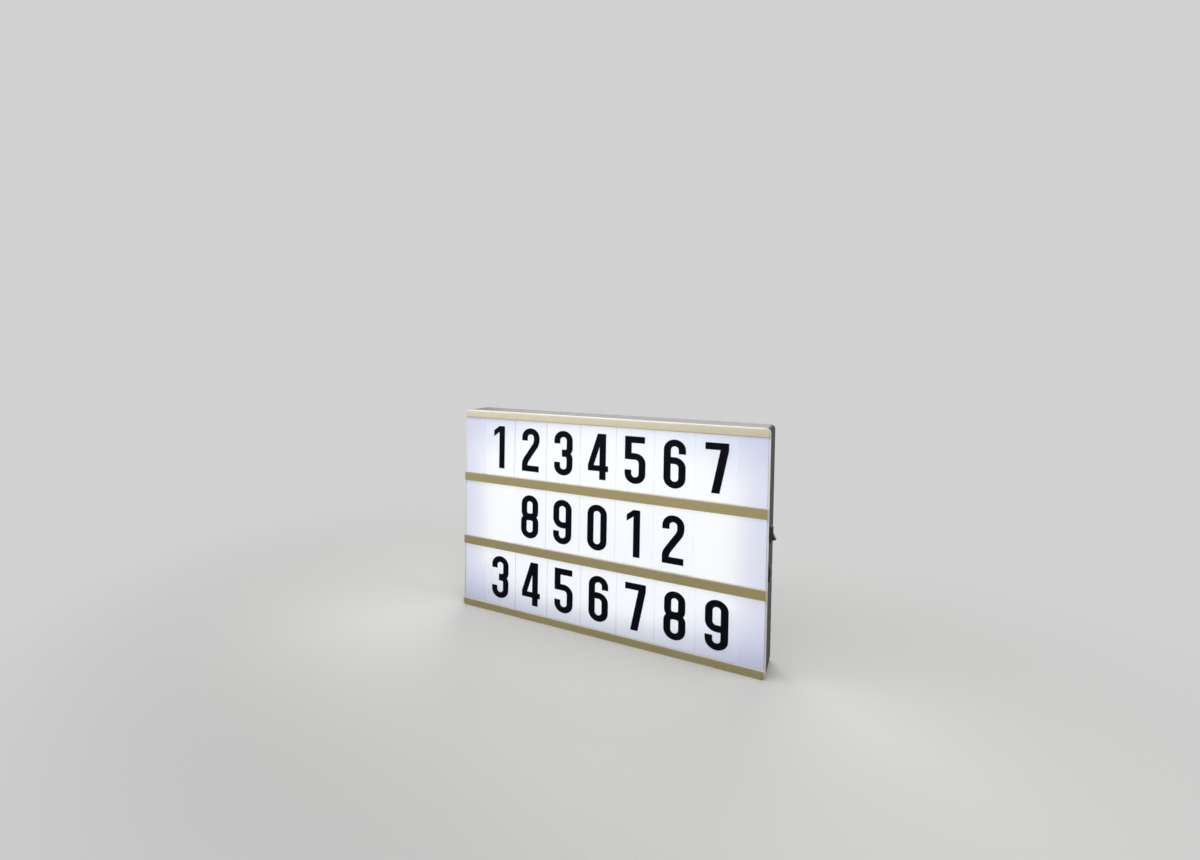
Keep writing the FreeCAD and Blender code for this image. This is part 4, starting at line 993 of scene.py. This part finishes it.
seals = bmesh.new()
seal_wide = (panel_high.x - panel_low.x) / MM + SEAL_OVER * 2
for edge, inward in ((panel_low.z, 1), (panel_high.z, -1)):
    middle = edge / MM + inward * (SEAL_FROM + SEAL_TO) / 2
    bar(seals, 0, middle, seal_wide, SEAL_TO - SEAL_FROM)
    print("seal at Z", round(middle, 2), "mm,", round(seal_wide, 1), "mm wide")
bmesh.ops.translate(seals, verts=seals.verts, vec=(0, panel_low.y - SEAL_GAP * MM, 0))
thicken(seals, Vector((0, -SEAL, 0)) * MM)
new_piece("light_seals", seals, "box", opal)

# %% [markdown]
# ## Stage, lamps and world
#
# A plain pale grey floor carries the box's soft shadow and runs into a surround of the same grey
# without an edge: near the box the floor is paint that takes the light, and further out it changes
# to the surround's own even glow. A grey a little darker than the panel lets the panel look lit.
# For the eye, for reflections and for what shows through the clear tiles, the surround has this
# pale grey. For everything else it is dimmer, so that it fills the shadows without washing the
# colours out.

# %% Floor
FLOOR_RADIUS, FLOOR_SIDES = 12.0, 96
FADE_FROM, FADE_TO = 0.12, 0.65
SURROUND = 0.64


def is_seen(tree):
    """1 for a ray from the eye, off a shiny face or through clear film, and 0 for any other."""
    path = add_node(tree, "ShaderNodeLightPath")
    seen = path.outputs["Is Camera Ray"]
    for ray in ("Is Glossy Ray", "Is Transmission Ray"):
        seen = add_node(tree, "ShaderNodeMath", {0: seen, 1: path.outputs[ray]},
                        operation="MAXIMUM").outputs[0]
    return seen


blank = bmesh.new()
bmesh.ops.create_circle(blank, cap_ends=True, segments=FLOOR_SIDES, radius=FLOOR_RADIUS)
floor_mesh = bpy.data.meshes.new("floor")
blank.to_mesh(floor_mesh)
blank.free()
floor = bpy.data.objects.new("floor", floor_mesh)
scene.collection.objects.link(floor)

floor_paint, tree, shader = start_finish("matt floor paint, pale grey", roughness=0.7)
place = add_node(tree, "ShaderNodeTexCoord").outputs["Object"]
away = add_node(tree, "ShaderNodeVectorMath", {0: place}, operation="LENGTH")
fade = add_node(tree, "ShaderNodeMapRange", {
    "Value": away.outputs["Value"], "From Min": FADE_FROM, "From Max": FADE_TO},
    interpolation_type="SMOOTHSTEP")
seen = is_seen(tree)
tone = add_node(tree, "ShaderNodeMix", {
    0: seen, 6: linear("#A9A8A6"), 7: linear("#DEDDDB")}, data_type="RGBA")
tree.links.new(tone.outputs[2], shader.inputs["Base Color"])
share = add_node(tree, "ShaderNodeMath", {0: seen, 1: fade.outputs["Result"]},
                 operation="MULTIPLY")
distance = add_node(tree, "ShaderNodeEmission", {"Color": (1, 1, 1, 1), "Strength": SURROUND})
blend = add_node(tree, "ShaderNodeMixShader", {
    0: share.outputs[0], 1: shader.outputs[0], 2: distance.outputs[0]})
show_instead(tree, blend)
floor_mesh.materials.append(floor_paint)
print("floor", 2 * FLOOR_RADIUS, "m across, fades from", FADE_FROM, "to", FADE_TO, "m")

# %% World
FILL = 0.25

world = bpy.data.worlds.new("surround")
world.use_nodes = True
tree = world.node_tree
tree.nodes.clear()
strength = add_node(tree, "ShaderNodeMapRange", {
    "Value": is_seen(tree), "To Min": FILL, "To Max": SURROUND})
sky = add_node(tree, "ShaderNodeBackground", {
    "Color": (1, 1, 1, 1), "Strength": strength.outputs["Result"]})
add_node(tree, "ShaderNodeOutputWorld", {"Surface": sky.outputs[0]})
scene.world = world
print("surround", SURROUND, "to the eye,", FILL, "as a fill")

# %% [markdown]
# The main lamp is a long soft strip above the front of the box, so the light falls off down the
# rails: the top one gets clearly more light than the bottom one. A wide lamp stands at the side
# and one behind the box, and they fill the faces that the main lamp can't reach.

# %% Lamps
def hang_lamp(name, place, aim, size, power):
    """A soft rectangular lamp at a place, pointed at another, in metres and watts."""
    data = bpy.data.lights.new(name, "AREA")
    data.shape = "RECTANGLE"
    data.size, data.size_y = size
    data.energy = power
    lamp = bpy.data.objects.new(name, data)
    lamp.matrix_world = (
        Matrix.Translation(place)
        @ (Vector(aim) - Vector(place)).to_track_quat("-Z", "Y").to_matrix().to_4x4())
    scene.collection.objects.link(lamp)
    print(name, power, "W at", place)


hang_lamp("main lamp", place=(-0.05, -0.21, 0.36), aim=(0, -0.02, 0.16), size=(0.7, 0.1),
          power=1.05)
hang_lamp("side lamp", place=(0.9, 0.1, 0.9), aim=(0.1, 0, 0.1), size=(0.8, 0.8), power=3.0)
hang_lamp("back lamp", place=(-0.2, 1.0, 0.9), aim=(0, 0, 0.12), size=(0.9, 0.9), power=8.0)

scene.view_settings.view_transform = "Standard"
